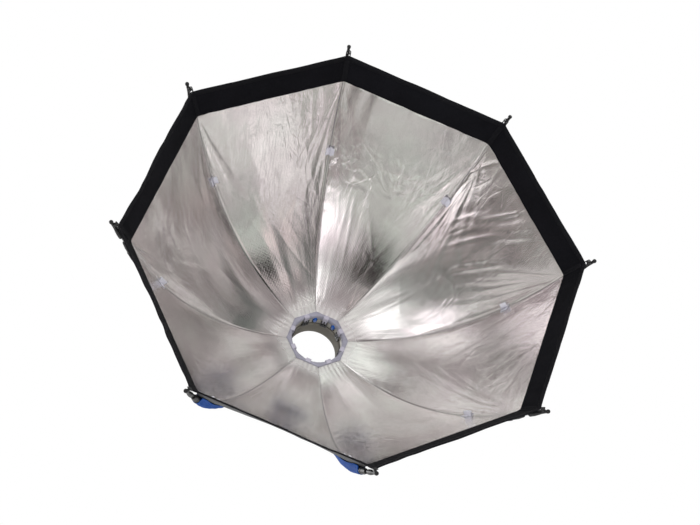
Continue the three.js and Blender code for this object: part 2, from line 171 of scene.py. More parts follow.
def add_mesh(name, points, faces, uvs=None, material=None, weld=False, sharp=None):
    """A mesh with smooth faces, whose edges are sharp above an angle in degrees if one is given."""
    mesh = bpy.data.meshes.new(name)
    mesh.from_pydata([tuple(p) for p in points], [], [tuple(f) for f in faces])
    mesh.validate()
    if uvs is not None:
        add_uvs(mesh, "UVMap", uvs)
    if weld:
        edit = bmesh.new()
        edit.from_mesh(mesh)
        bmesh.ops.remove_doubles(edit, verts=edit.verts, dist=SAME_POINT)
        bmesh.ops.recalc_face_normals(edit, faces=edit.faces)
        edit.to_mesh(mesh)
        edit.free()
    mesh.polygons.foreach_set("use_smooth", [True] * len(mesh.polygons))
    if sharp:
        mesh.set_sharp_from_angle(angle=math.radians(sharp))
    obj = bpy.data.objects.new(name, mesh)
    bpy.context.scene.collection.objects.link(obj)
    if material:
        mesh.materials.append(MATERIALS[material])
    return obj


def add_uvs(mesh, name, uvs):
    """A UV map from one place per vertex."""
    loops = np.zeros(len(mesh.loops), np.int32)
    mesh.loops.foreach_get("vertex_index", loops)
    layer = mesh.uv_layers.new(name=name)
    layer.data.foreach_set("uv", np.asarray(uvs, np.float32)[loops].ravel())


def seat(obj, body, slot_name, *nodes):
    """Rides the piece on its body and hides the CAD nodes that it stands for. The slot name is not
    used.
    """
    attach(obj, body)
    if nodes:
        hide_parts(*nodes)
    return obj


def solid(name, shape, material, slot_name, *nodes, body="softbox", sharp=40):
    """A closed piece from its points and faces."""
    obj = add_mesh(name, *shape, None, material, weld=True, sharp=sharp)
    return seat(obj, body, slot_name, *nodes)


def thicken(obj, thickness, offset=0):
    modifier = obj.modifiers.new("thickness", "SOLIDIFY")
    modifier.thickness = thickness
    modifier.offset = offset
    return modifier


def grid_faces(rows, columns, wrap_rows=False, wrap_columns=False):
    i = np.arange(rows if wrap_rows else rows - 1)
    j = np.arange(columns if wrap_columns else columns - 1)
    i, j = np.meshgrid(i, j, indexing="ij")
    a, b = i * columns + j, i * columns + (j + 1) % columns
    c, d = ((i + 1) % rows) * columns + (j + 1) % columns, ((i + 1) % rows) * columns + j
    return np.stack([a, b, c, d], -1).reshape(-1, 4).tolist()


def grid_uvs(along, across):
    return np.stack(np.meshgrid(along, across, indexing="ij"), -1).reshape(-1, 2)


def strip(name, points, uvs, material, thickness):
    """A strip of cloth or tape from rows of points."""
    faces = grid_faces(*points.shape[:2])
    obj = add_mesh(name, points.reshape(-1, 3), faces, uvs, material)
    thicken(obj, thickness)
    return obj


def at_angle(points, angle):
    """Points built on the +X side, turned about Y to an angle as seen from the front."""
    points = np.asarray(points, float)
    c, s = math.cos(angle), math.sin(angle)
    x, y, z = points[..., 0], points[..., 1], points[..., 2]
    return np.stack([x * c - z * s, y, x * s + z * c], -1)


def at_corner(points, corner):
    return at_angle(points, corner * SIDE_ANGLE)


def middle_angle(index):
    return math.pi / 2 - (index - 0.5) * SIDE_ANGLE


def in_corner(r_y, z=0.0):
    """Radius and Y with a width, as points in a corner's frame."""
    r_y = np.asarray(r_y, float)
    return np.concatenate([r_y, np.broadcast_to(z, r_y.shape[:-1])[..., None]], -1)


def rounded(outline, radius, closed=True, steps=4):
    """An outline of 2-D points with its corners eased."""
    outline = np.asarray(outline, float)
    count = len(outline)
    result = []
    for i, corner in enumerate(outline):
        if not closed and i in (0, count - 1):
            result.append(corner)
            continue
        ends = []
        for other in (outline[i - 1], outline[(i + 1) % count]):
            side = other - corner
            length = np.linalg.norm(side)
            ends.append(corner + side / length * min(radius, length / 2.2))
        for t in np.linspace(0, 1, steps):
            result.append((1 - t) ** 2 * ends[0] + 2 * t * (1 - t) * corner + t**2 * ends[1])
    return np.array(result)


def rounded_mm(outline, radius, closed=True, steps=4):
    """The same with the outline and the radius in millimetres."""
    return rounded(np.array(outline, float) * MM, radius * MM, closed, steps)


def turned(section, start=0.0, sweep=TURN, segments=32, closed=True):
    """A section of [radius, y] turned about the Y axis, closed or as an open line that starts and
    ends on the axis: points and faces."""
    section = np.asarray(section, float)
    full = sweep == TURN
    angles = start + np.linspace(0, sweep, segments, endpoint=not full)
    rings = [at_angle(in_corner(section), a) for a in angles]
    return np.concatenate(rings), grid_faces(segments, len(section), full, closed)


def lathe(name, section, material, segments, ease=0.5 * MM):
    shape = turned(rounded(section, ease), segments=segments)
    return add_mesh(name, *shape, None, material, weld=True, sharp=40)


def extruded(outline, width):
    """A flat outline in local x, y given a width along z, centred, as points and faces."""
    n = len(outline)
    low = np.column_stack([outline, np.full(n, -width / 2)])
    high = np.column_stack([outline, np.full(n, width / 2)])
    faces = [(i, (i + 1) % n, n + (i + 1) % n, n + i) for i in range(n)]
    faces += [tuple(range(n)), tuple(range(2 * n - 1, n - 1, -1))]
    return np.concatenate([low, high]), faces


def joined(*parts):
    """Several (points, faces) as one."""
    points, faces, start = [], [], 0
    for part_points, part_faces in parts:
        points.append(np.asarray(part_points, float).reshape(-1, 3))
        faces += [tuple(i + start for i in face) for face in part_faces]
        start += len(points[-1])
    return np.concatenate(points), faces


def skinned(rows):
    """Closed sections, one per row, joined into a solid with both ends shut."""
    n, last = len(rows[0]), (len(rows) - 1) * len(rows[0])
    faces = grid_faces(len(rows), n, False, True)
    faces += [tuple(range(n)), tuple(range(last + n - 1, last - 1, -1))]
    return np.concatenate(rows), faces


def tube(centres, firsts, seconds, section):
    """A closed section swept along centres, each with its two axes, with both ends shut."""
    axes = zip(centres, firsts, seconds)
    return skinned([c + section[:, :1] * a + section[:, 1:] * b for c, a, b in axes])


def circle(radius, count):
    a = np.linspace(0, TURN, count, endpoint=False)
    return np.column_stack([radius * np.cos(a), radius * np.sin(a)])


def swept(path, section, side=(0, 0, 1)):
    """A section swept along a path, whose second axis stays as near as it can to one direction."""
    path = np.asarray(path, float)
    ahead = np.gradient(path, axis=0)
    ahead /= np.linalg.norm(ahead, axis=1, keepdims=True)
    first = np.cross(ahead, np.asarray(side, float))
    first /= np.linalg.norm(first, axis=1, keepdims=True)
    return tube(path, first, np.cross(first, ahead), section)


def cut(obj, cutter_points, cutter_faces, sharp=35):
    """Takes a closed shape away from a piece, and makes its edges sharp above an angle."""
    cutter = add_mesh(obj.name + "_cutter", cutter_points, cutter_faces, weld=True)
    modifier = obj.modifiers.new("cut", "BOOLEAN")
    modifier.object = cutter
    modifier.solver = "EXACT"
    view = bpy.context.evaluated_depsgraph_get()
    mesh = bpy.data.meshes.new_from_object(obj.evaluated_get(view), depsgraph=view)
    obj.modifiers.clear()
    old = obj.data
    obj.data = mesh
    bpy.data.objects.remove(cutter)
    bpy.data.meshes.remove(old)
    mesh.name = obj.name
    mesh.set_sharp_from_angle(angle=math.radians(sharp))


# -------- material helpers


class Nodes:
    """Short calls that add nodes to one node tree. Each of them returns the node's output."""

    def __init__(self, tree, shader):
        self.tree, self.inputs = tree, tree.nodes[shader].inputs

    def feed(self, value, socket):
        """A value for a socket: a plain one, or the output that feeds it."""
        if isinstance(value, bpy.types.NodeSocket):
            self.tree.links.new(value, socket)
        else:
            socket.default_value = value

    def shade(self, **values):
        """Values for the shader's sockets, whose names are written with _ for a space."""
        for key, value in values.items():
            self.feed(value, self.inputs[key.replace("_", " ")])

    def add(self, kind, output=0, settings=(), **sockets):
        node = self.tree.nodes.new("ShaderNode" + kind)
        for key, value in dict(settings).items():
            setattr(node, key, value)
        for key, value in sockets.items():
            self.feed(value, node.inputs[key])
        return node.outputs[output]

    def mapped(self, source="UV", scale=(1, 1, 1), rotation=0.0):
        """Coordinates times a scale: UV and Object coordinates are both in metres here."""
        place = self.add("TexCoord", source)
        return self.add("Mapping", Vector=place, Scale=scale, Rotation=(0, 0, rotation))

    def noise(self, vector, scale, detail=3.0, roughness=0.55, distortion=0.0):
        values = dict(Vector=vector, Scale=scale, Detail=detail, Roughness=roughness)
        return self.add("TexNoise", "Fac", Distortion=distortion, **values)

    def math(self, operation, *values):
        node = self.add("Math", settings={"operation": operation}).node
        for socket, value in zip(node.inputs, values):
            self.feed(value, socket)
        return node.outputs[0]

    def dot(self, *vectors):
        node = self.add("VectorMath", settings={"operation": "DOT_PRODUCT"}).node
        for socket, vector in zip(node.inputs, vectors):
            self.feed(vector, socket)
        return node.outputs["Value"]

    def ramp(self, factor, stops):
        color = self.add("ValToRGB", "Color", Fac=factor)
        elements = color.node.color_ramp.elements
        while len(elements) < len(stops):
            elements.new(0.5)
        for element, (place, tone) in zip(elements, stops):
            element.position = place
            element.color = (*tone, 1)
        return color

    def ranged(self, value, low, high, to_low, to_high, kind="LINEAR"):
        node = self.add("MapRange", settings={"interpolation_type": kind}, Value=value).node
        for socket, number in zip(list(node.inputs)[1:5], (low, high, to_low, to_high)):
            socket.default_value = number
        return node.outputs["Result"]

    def mixed(self, factor, first, second):
        """Two colours, each an output or a plain colour, mixed by a factor."""
        node = self.add("Mix", settings={"data_type": "RGBA"}, Factor=factor).node
        for socket, value in zip(list(node.inputs)[6:8], (first, second)):
            self.feed((*value, 1) if isinstance(value, tuple) else value, socket)
        return node.outputs[2]

    def bumps(self, *layers):
        """Bumps laid on each other, each as (height, distance, strength), on the shader."""
        below = {}
        for height, distance, strength in layers:
            values = dict(Height=height, Distance=distance, Strength=strength, **below)
            below = {"Normal": self.add("Bump", **values)}
        self.shade(**below)

    def weave(self, vector, pitch):
        """Two sets of threads, one across the other, with a pitch in metres."""
        threads = []
        for direction in "XY":
            settings = dict(wave_type="BANDS", bands_direction=direction)
            values = dict(Vector=vector, Scale=1 / (math.pi * pitch), Distortion=0.0)
            threads.append(self.add("TexWave", "Fac", settings, **values))
        return self.math("MAXIMUM", *threads)


def new_material(name, color, roughness, metallic=0.0, **sockets):
    mat = bpy.data.materials.new(name)
    mat.use_nodes = True
    nodes = Nodes(mat.node_tree, "Principled BSDF")
    nodes.shade(Base_Color=(*color, 1), Roughness=roughness, Metallic=metallic, **sockets)
    return mat, nodes


# -------- materials


def silver_cloth():
    """Metallised ripstop: a satin mirror with a fine grid of threads, creases, crumples, and faint
    pink and green tints painted into its colour as painted reflection.
    A second UV map holds the distances from the nearest seam and from the lip."""
    mat, nodes = new_material("silver_cloth", (0.83, 0.82, 0.815), 0.3, 1.0)
    uv = nodes.mapped()
    # Painted reflection: random pink and green tints in the silver's colour stand in for the tones
    # that the cloth mirrors.
    tones = [(0.3, (0.76, 0.72, 0.73)), (0.5, (0.83, 0.81, 0.805)), (0.7, (0.84, 0.85, 0.83))]
    silver = nodes.ramp(nodes.noise(uv, 7, 5, 0.6), tones)
    seam_uv = nodes.add("UVMap", "UV", {"uv_map": "Seam"})
    split = nodes.add("SeparateXYZ", "X", Vector=seam_uv).node.outputs
    # The colour turns dark on the seam line itself, and a little darker within 9 mm of a seam.
    stitched = nodes.ranged(split["X"], 0.2 * MM, 0.7 * MM, 0.65, 1.0)
    darker_near_seam = nodes.ranged(split["X"], 1 * MM, 9 * MM, 0.96, 1.0)
    seam_tone = nodes.math("MULTIPLY", stitched, darker_near_seam)
    nodes.shade(Base_Color=nodes.mixed(seam_tone, (0.03, 0.03, 0.032), silver))
    satin = nodes.ranged(nodes.noise(uv, 24, 4), 0.3, 0.75, 0.08, 0.2)
    gathered_from, gathered_to = SEAM_LENGTH - 40 * MM, SEAM_LENGTH - 4 * MM
    gathered = nodes.ranged(split["Y"], gathered_from, gathered_to, 0, 0.25)
    nodes.shade(Roughness=nodes.math("ADD", satin, gathered))
    nodes.shade(Metallic=nodes.math("SUBTRACT", 1, gathered))

    long_creases = nodes.noise(nodes.mapped(scale=(1, 0.16, 1)), 80, 2, 0.5, 0.4)
    crosswise = nodes.mapped(scale=(0.25, 1, 1), rotation=0.5)
    cross_creases = nodes.noise(crosswise, 60, 2, 0.5, 0.3)
    crumple = nodes.noise(nodes.mapped(scale=(1, 0.6, 1), rotation=0.2), 26, 3, 0.5, 0.8)
    crumple = nodes.math("ABSOLUTE", nodes.math("SUBTRACT", crumple, 0.5))
    slanted = nodes.mapped(scale=(1, 0.55, 1), rotation=0.35)
    edges = {"feature": "DISTANCE_TO_EDGE"}
    cells = nodes.add("TexVoronoi", "Distance", edges, Vector=slanted, Scale=26)
    cracks = nodes.ranged(cells, 0, 0.05, 0, 1)
    crushed = nodes.ranged(nodes.noise(uv, 9, 3), 0.42, 0.62, 0.15, 1, "SMOOTHSTEP")
    front = nodes.ranged(split["Y"], 0.16, 0.34, 1, 0.2, "SMOOTHSTEP")
    crushed = nodes.math("MULTIPLY", crushed, front)
    nodes.bumps(
        (long_creases, 0.6 * MM, 0.4),
        (cross_creases, 0.5 * MM, 0.2),
        (nodes.math("MULTIPLY", crumple, crushed), 4 * MM, 0.6),
        (nodes.math("MULTIPLY", cracks, crushed), 0.6 * MM, 0.32),
        (nodes.noise(uv, 620, 2, 0.6), 0.18 * MM, 0.5),
        (nodes.weave(uv, 3.4 * MM), 0.18 * MM, 0.5),
    )
    return mat


def woven_cloth(name, color, roughness, pitch, sheen=0.0, gloss=0.3, creased=0.3):
    """Plain woven polyester with threads, soft mottling and sheen. The pitch is in millimetres."""
    sockets = dict(Sheen_Weight=sheen, Sheen_Roughness=0.5, Specular_IOR_Level=gloss)
    mat, nodes = new_material(name, color, roughness, **sockets)
    uv = nodes.mapped()
    dark = tuple(c * 0.75 for c in color)
    light = tuple(min(1, c * 1.25) for c in color)
    weave = nodes.weave(uv, pitch * MM)
    slub = nodes.noise(uv, 260, 3)
    cloth = nodes.ramp(nodes.noise(uv, 14, 5), [(0.3, dark), (0.7, light)])
    gaps = nodes.ranged(weave, 0.2, 0.9, 0.45, 0.0)
    nodes.shade(Base_Color=nodes.mixed(gaps, cloth, dark))
    rumples = nodes.noise(nodes.mapped(scale=(1, 0.35, 1), rotation=0.15), 34, 4, 0.5, 0.6)
    layers = (rumples, 8 * MM, creased), (slub, 0.5 * MM, 0.4), (weave, 0.2 * MM, 0.7)
    nodes.bumps(*layers)
    rough = nodes.ranged(slub, 0.3, 0.7, roughness - 0.08, min(1, roughness + 0.06))
    nodes.shade(Roughness=rough)
    return mat


def moulded_plastic(name, color, roughness, grain=0.2, gloss=0.5):
    """Injection-moulded plastic: fine spark-eroded grain, with rubbed patches."""
    mat, nodes = new_material(name, color, roughness, Specular_IOR_Level=gloss)
    place = nodes.mapped("Object")
    wear = nodes.noise(place, 38, 5)
    light = tuple(min(1, c * 1.35 + 0.003) for c in color)
    nodes.shade(Base_Color=nodes.ramp(wear, [(0.45, color), (0.75, light)]))
    rough = nodes.ranged(wear, 0.35, 0.7, roughness - 0.1, roughness + 0.1)
    nodes.shade(Roughness=rough)
    nodes.bumps((nodes.noise(place, 1500, 2), grain * MM, 0.5))
    return mat


def drawn_steel(name, color, roughness):
    """Steel with drawing lines and a little staining."""
    mat, nodes = new_material(name, color, roughness, 1.0)
    stain = nodes.noise(nodes.mapped("Object"), 60, 5)
    dull = tuple(c * 0.72 for c in color)
    nodes.shade(Base_Color=nodes.ramp(stain, [(0.35, dull), (0.6, color)]))
    rough = nodes.ranged(stain, 0.3, 0.7, roughness + 0.14, roughness)
    nodes.shade(Roughness=rough)
    fine = nodes.mapped("Object", (90, 90, 90))
    nodes.bumps((nodes.noise(fine, 40, 4), 0.1 * MM, 0.35))
    return mat


def floor_paper():
    mat, nodes = new_material("floor", (0.8, 0.79, 0.78), 0.6)
    tones = [(0.3, (0.77, 0.76, 0.75)), (0.7, (0.82, 0.81, 0.8))]
    paper = nodes.ramp(nodes.noise(nodes.mapped("Object"), 1.5), tones)
    nodes.shade(Base_Color=paper)
    return mat


MATERIALS = {
    "silver": silver_cloth(),
    "outer": woven_cloth("outer_cloth", (0.024, 0.024, 0.027), 0.6, 1.2, 0.1, creased=0.7),
    "black": woven_cloth("black_cloth", (0.0055, 0.0055, 0.0075), 0.85, 1.2, gloss=0.1),
    "binding": woven_cloth("binding_tape", (0.008, 0.008, 0.010), 0.85, 1.6, gloss=0.12),
    "thread": woven_cloth("black_thread", (0.02, 0.02, 0.022), 0.7, 0.4, 0.1),
    "silver_thread": woven_cloth("grey_thread", (0.6, 0.585, 0.585), 0.6, 0.4, 0.2),
    "blue": woven_cloth("blue_cloth", (0.006, 0.08, 0.38), 0.75, 1.2, gloss=0.15),
    "lavender": woven_cloth("lavender_cloth", (0.36, 0.355, 0.43), 0.9, 1.1, 0.2),
    "tab": woven_cloth("tab_webbing", (0.56, 0.54, 0.64), 0.85, 1.4, 0.2),
    "hook_tape": woven_cloth("hook_tape", (0.74, 0.73, 0.82), 0.8, 1.0, 0.2),
    "plastic": moulded_plastic("black_plastic", (0.009, 0.009, 0.01), 0.5, gloss=0.35),
    "ring": moulded_plastic("ring_plastic", (0.36, 0.34, 0.30), 0.5),
    "rubber": moulded_plastic("grey_rubber", (0.155, 0.145, 0.125), 0.75, 0.4),
    "blue_gloss": moulded_plastic("blue_plastic", (0.004, 0.085, 0.4), 0.28, 0.05),
    "steel": drawn_steel("spring_steel", (0.25, 0.25, 0.255), 0.35),
    "zinc": drawn_steel("zinc_steel", (0.55, 0.55, 0.54), 0.35),
}

# -------- reflector panels

ALONG, ACROSS = 210, 116
SADDLE = 9 * MM
CREASE_HEIGHT = 0.4 * MM
SEAM_DIP = 0.5 * MM
CLOTH = 0.8 * MM

# How each panel is creased: folds that fan out of its two lip corners, broad and narrow folds from
# lip to ring, their lean, streaks near the lip, slanting crinkles, and the count of straight
# creases. The lean is a slope and the rest, but for the count, are heights in millimetres.
STYLES = {
    1: (1.0, 1.4, 0.14, 0.10, 0.15, 0.26, 14),
    2: (1.9, 2.6, 0.30, -0.45, 1.10, 0.10, 6),
    3: (1.0, 1.2, 0.15, 0.35, 0.40, 0.26, 10),
    4: (0.5, 1.2, 0.08, 0.0, 0.10, 0.06, 8),
    5: (0.6, 1.5, 0.16, 0.10, 0.15, 0.06, 8),
    6: (0.4, 1.5, 0.08, -0.10, 0.10, 0.05, 6),
    7: (0.8, 2.0, 0.08, -0.40, 0.15, 0.05, 8),
    8: (1.1, 1.6, 0.18, 0.05, 0.50, 0.14, 10),
}


def panel_half(share):
    """Half a panel's width at a share of the seam's length, counted from the lip."""
    return seam_point(u_at(share))[..., 0] * SIN_HALF


def folds_from_corner(noise, s, t):
    """Tension folds that fan out of a lip corner, close to the seam, and die away inwards."""
    reach, spread = 0.36, 0.36
    distance = np.hypot(s, t)
    angle = np.arctan2(t, s + 1e-6)
    warp = 0.6 * noise(distance * 9, 2.5)
    fan = noise(angle * 11 + 5 + warp, distance * 5)
    fan = fan + 0.45 * noise.ridged(angle * 23 + warp, distance * 8 + 9)
    near = np.exp(-((angle / spread) ** 2))
    fade = smooth(distance, 0.008, 0.06) * (1 - smooth(distance, reach * 0.35, reach))
    return fan * near * fade


def creases(rng, s, t, count):
    """Straight creases left by folding the softbox away. Those that run crosswise are shallow."""
    relief = np.zeros_like(s)
    sharpness, shallow = 4 * MM, 0.3
    for _ in range(count):
        start_s, start_t = rng.uniform(0.03, 0.4), rng.uniform(-0.42, 0.42) * 0.3
        heading = rng.uniform(-0.5, 0.5)
        crosswise = rng.random() < 0.3
        heading += math.pi / 2 if crosswise else 0
        length = rng.uniform(0.05, 0.2)
        sign = rng.choice([-1, 1])
        along = (s - start_s) * math.cos(heading) + (t - start_t) * math.sin(heading)
        off = -(s - start_s) * math.sin(heading) + (t - start_t) * math.cos(heading)
        depth = CREASE_HEIGHT * (shallow if crosswise else 1)
        fade = np.exp(-((along / length) ** 4))
        relief += sign * depth * np.exp(-np.abs(off) / sharpness) * fade
    return relief


def panel_depth(index, share, t):
    """How far the cloth of a panel stands in from the straight lines between its two seams."""
    fan, broad, narrow, lean, streaks, crinkle, crease_count = STYLES[index]
    n1, n2, n3 = Noise(200 + index), Noise(300 + index), Noise(400 + index)
    s = share * SEAM_LENGTH
    half = panel_half(share)
    v = t / half
    edge = half - np.abs(t)
    arch = np.sin(math.pi * share)
    relief = fan * MM * folds_from_corner(n1, s, half - t)
    relief += fan * MM * folds_from_corner(n2, s, half + t)

    # Folds from lip to ring, whose pattern lies across the panel and leans as it goes.
    across = v * 0.13 + lean * s
    relief += broad * MM * n1(across / 0.062 + 11, s * 3.2) * arch**0.6
    swell = 0.3 + 0.7 * smooth(n3(v * 1.6 + 9, s * 5), -0.4, 0.5)
    relief += narrow * MM * n2(across / 0.021 + 5, s * 4.5) * swell * arch**0.5
    relief += 0.3 * narrow * MM * n3.ridged(across / 0.013, s * 5 + 8) * swell**2

    # Waves at the lip's edge, and streaks behind it.
    relief += 0.8 * MM * n3(t * 50, s * 7) * np.exp(-s / 0.05)
    gather = smooth(n1(v * 1.3 + 4, s * 3 + 2), -0.3, 0.5)
    gather = gather * (1 - smooth(s, 0.12, 0.3)) * smooth(s, 0, 0.03)
    relief += streaks * MM * n3.ridged(across / 0.017 + 3, s * 5) * gather

    # Crinkles in patches, square to the slant.
    side = np.sign(lean + 0.01)
    slant, slope = 0.8 * s + 0.6 * t * side, 0.6 * s - 0.8 * t * side
    patches = smooth(n2(s * 5 + 3, t * 6), -0.2, 0.5)
    relief += crinkle * MM * n3(slope / 0.012, slant / 0.07) * patches
    relief += 0.35 * crinkle * MM * n1(slope / 0.006, slant / 0.04 + 9) * patches
    relief += creases(np.random.default_rng(100 + index), s, t, crease_count)

    # Puckers along the seams and round the ring.
    relief += 0.35 * MM * n1(s * 80, t * 8) * np.exp(-edge / 0.012)
    pucker = np.cos(TURN * t / (9.5 * MM) + 3 * n3(t * 30, 0.5))
    relief += 0.6 * MM * pucker * np.exp(-(SEAM_LENGTH - s) / 0.016)

    # Near the seams the cloth stays inside the rods, and at its rims it meets its neighbours.
    relief = np.maximum(relief, -0.8 * MM - 0.4 * np.maximum(edge - 16 * MM, 0))
    rims = smooth(edge, 0, 6 * MM) * smooth(s, 0, 8 * MM) * smooth(SEAM_LENGTH - s, 0, 6 * MM)
    dip = SEAM_DIP * (1 - smooth(edge, 0, 3.5 * MM))
    return SADDLE * (1 - v**2) * arch**0.8 + relief * rims - dip


def on_panel(index, share, t, lift=0.0):
    """Points of a panel's inner surface, from the share of the seam's length counted from the lip
    and the distance from the panel's middle line. Lift moves them into the softbox."""
    u = u_at(share)
    profile, normal = seam_point(u), seam_normal(u)
    depth = panel_depth(index, share, t) + lift
    x = profile[..., 0] * COS_HALF - depth * normal[..., 0]
    y = profile[..., 1] - depth * normal[..., 1]
    return at_angle(np.stack([x, y, t], -1), middle_angle(index))


def make_panel(index):
    share = np.linspace(0, 1, ALONG)
    v = np.sin(np.linspace(-1, 1, ACROSS) * math.pi / 2)
    share, v = np.meshgrid(share, v, indexing="ij")
    half = panel_half(share)
    t, s = v * half, share * SEAM_LENGTH
    points = on_panel(index, share, t).reshape(-1, 3)
    uvs = np.stack([t + index, s], -1).reshape(-1, 2)
    obj = add_mesh(f"reflector_{index}", points, grid_faces(ALONG, ACROSS), uvs, "silver")
    obj.data.materials.append(MATERIALS["outer"])
    add_uvs(obj.data, "Seam", np.stack([half - np.abs(t), s], -1).reshape(-1, 2))
    cloth = thicken(obj, CLOTH, offset=-1)
    cloth.material_offset = cloth.material_offset_rim = 1
    seat(obj, "softbox", "reflector_cloth", f"panel_{index}")


def panels_at(corner):
    """The panels on the anticlockwise and the clockwise side of a corner."""
    return (1 - corner) % SIDES + 1, (2 - corner) % SIDES + 1


def make_seam_stitches(corner):
    """A row of stitches on each side of a seam, each of them a bead of five points."""
    pitch, inset, thread = 3.4 * MM, 2.6 * MM, 0.28 * MM
    bead = [(0, 0, 0.1), (0.7, 0, 0.1), (0.35, -1, 0.2), (0.35, 1, 0.2), (0.35, 0, 0.55)]
    bead_faces = [(0, 2, 4), (0, 4, 3), (1, 4, 2), (1, 3, 4), (0, 3, 1, 2)]
    first, unsewn = 12 * MM, 30 * MM
    count = int((SEAM_LENGTH - unsewn) / pitch)
    starts = first + np.arange(count) * pitch
    faces = [tuple(5 * k + i for i in face) for k in range(count) for face in bead_faces]
    parts = []
    for index, sign in zip(panels_at(corner), (-1, 1)):
        points = []
        for along, aside, lift in bead:
            share = (starts + along * pitch) / SEAM_LENGTH
            t = sign * (panel_half(share) - inset) + aside * thread
            points.append(on_panel(index, share, t, lift * MM))
        parts.append((np.stack(points, 1), faces))
    obj = add_mesh(f"seam_stitches_{CORNERS[corner]}", *joined(*parts), None, "silver_thread")
    seat(obj, "softbox", "reflector_cloth")


def make_baffle_tab(corner):
    """Hook tape that an inner diffuser hangs on: a strip across the seam with a loose flap."""
    name, middle_u, length, reach, lift = CORNERS[corner], 0.285, 15 * MM, 10.5 * MM, 0.9 * MM
    uv_step = 2 * MM
    place = float(np.interp(middle_u, U_STEPS, S_STEPS)) / SEAM_LENGTH
    shares = place + np.linspace(-0.5, 0.5, 9) * length / SEAM_LENGTH
    anticlockwise, clockwise = panels_at(corner)
    half, insets = panel_half(shares), np.linspace(reach, 0.6 * MM, 8)
    columns = [on_panel(clockwise, shares, half - inset, lift) for inset in insets]
    columns += [on_panel(anticlockwise, shares, inset - half, lift) for inset in insets[::-1]]
    uvs = grid_uvs(np.arange(len(shares)) * uv_step, np.arange(len(columns)) * uv_step)
    tape = strip(f"baffle_tab_{name}", np.stack(columns, 1), uvs, "hook_tape", 0.9 * MM)
    seat(tape, "softbox", "reflector_cloth")

    shares = place + np.linspace(-0.65, 0.65, 12) * length / SEAM_LENGTH
    foot, out = seam_point(u_at(shares)), seam_normal(u_at(shares))
    rise = np.linspace(0.2, 9.5, 7) * MM
    lean = (1 if corner % 2 else -1) * 3.2 * MM * (rise / rise[-1]) ** 2
    curl = 1 + 0.2 * np.sin(np.linspace(0, math.pi, len(shares)))
    points = in_corner(foot[:, None] - rise[:, None] * out[:, None], np.outer(curl, lean))
    uvs = grid_uvs(np.arange(len(shares)) * uv_step, rise)
    flap = strip(f"baffle_flap_{name}", at_corner(points, corner), uvs, "hook_tape", 1.0 * MM)
    seat(flap, "softbox", "reflector_cloth")


# -------- front lip

LIP_ROWS = 16
SIDE_STEPS = 72
LIP_DEPTH = 53 * MM
HEM_FROM = 0.82
LIP_OVERLAP = 3 * MM
LIP_NOTCH = 0.4 * MM
# How far the lip's front edge waves out of line at each panel, in millimetres.
LIP_WAVES = {1: 1.0, 2: 1.2, 3: 1.4, 4: 1.6, 5: 2.0, 6: 4.2, 7: 4.0, 8: 1.2}


def on_lip(index, v, w, lift=0.0):
    """Points of the lip's cloth over a panel: v runs along the side from -1 to 1, w from the seam
    to the front edge, and lift is outwards."""
    v, w = np.broadcast_arrays(np.asarray(v, float), np.asarray(w, float))
    noise = Noise(700 + index)
    overlap = LIP_OVERLAP + LIP_NOTCH * np.exp(-(((1 - np.abs(v)) / 0.05) ** 2))
    overlap = overlap + 0.8 * MM * noise(v * 12, 3.5)
    u = u_at(overlap / SEAM_LENGTH)
    rear = seam_point(u) - 1.1 * MM * seam_normal(u)
    front = np.array([FRONT_RADIUS - 0.8 * MM, FRONT_Y])
    section = rear * (1 - w[..., None]) + front * w[..., None]
    wave = LIP_WAVES[index] * MM * (noise(v * 2.6, 0.5) + 0.35 * noise(v * 8, 1.5))
    fine = 0.35 * MM * noise(v * 16, w * 2.5) + 0.5 * MM * noise(v * 5, w * 3 + 7)
    fade = 1 - smooth(np.abs(v), 0.86, 1)
    out = lift + (wave * w**1.4 + fine * w * (1.15 - w)) * fade
    corner = 0.7 * MM * smooth(np.abs(v), 0.98, 1)
    slope = np.array([LIP_SEAM_Y - FRONT_Y, (FRONT_RADIUS - LIP_SEAM_RADIUS) * COS_HALF])
    slope = slope / np.linalg.norm(slope)
    x = section[..., 0] * COS_HALF + out * slope[0] - corner
    y = section[..., 1] + out * slope[1] + 0.6 * MM * noise(v * 7, 5.5) * fade * w
    t = v * section[..., 0] * SIN_HALF
    return at_angle(np.stack([x, y, t], -1), middle_angle(index))


def round_the_lip(name, w, lift, material, wrap):
    """A piece that follows the lip all the way round: w and lift give its section."""
    v = np.sin(np.linspace(-1, 1, SIDE_STEPS) * math.pi / 2)[:-1, None]
    order = range(SIDES, 0, -1)
    points = np.concatenate([on_lip(index, v, w[None], lift[None]) for index in order])
    length = 2 * FRONT_RADIUS * SIN_HALF * SIDES / len(points)
    steps = np.hypot(np.diff(w, prepend=w[0]) * LIP_DEPTH, np.diff(lift, prepend=lift[0]))
    uvs = grid_uvs(np.arange(len(points)) * length, np.cumsum(steps))
    faces = grid_faces(len(points), len(w), True, wrap)
    return add_mesh(name, points.reshape(-1, 3), faces, uvs, material)


def over_the_corner(name, corner, w, reach, lift, uv_step, taper=1.0):
    """A tape over the lip's own seam at a corner, that reaches as far along both its sides."""
    inset = np.linspace(reach / (FRONT_RADIUS * SIN_HALF), 0.0, 6)[:, None] * taper
    anticlockwise, clockwise = panels_at(corner)
    first = on_lip(clockwise, 1 - inset, w[None], lift)
    second = on_lip(anticlockwise, inset[::-1][1:] - 1, w[None], lift)
    points = np.concatenate([first, second])
    uvs = grid_uvs(np.arange(len(points)) * uv_step, w * LIP_DEPTH)
    tape = strip(f"{name}_{CORNERS[corner]}", points, uvs, "binding", 0.9 * MM)
    return seat(tape, "softbox", "lip_cloth")


def make_corner_tape(corner):
    """Tape sewn over the lip's corner on the inside."""
    w = np.linspace(0.03, HEM_FROM + 0.01, 14)
    return over_the_corner("lip_tape", corner, w, 6.5 * MM, -1.1 * MM, 1.3 * MM)


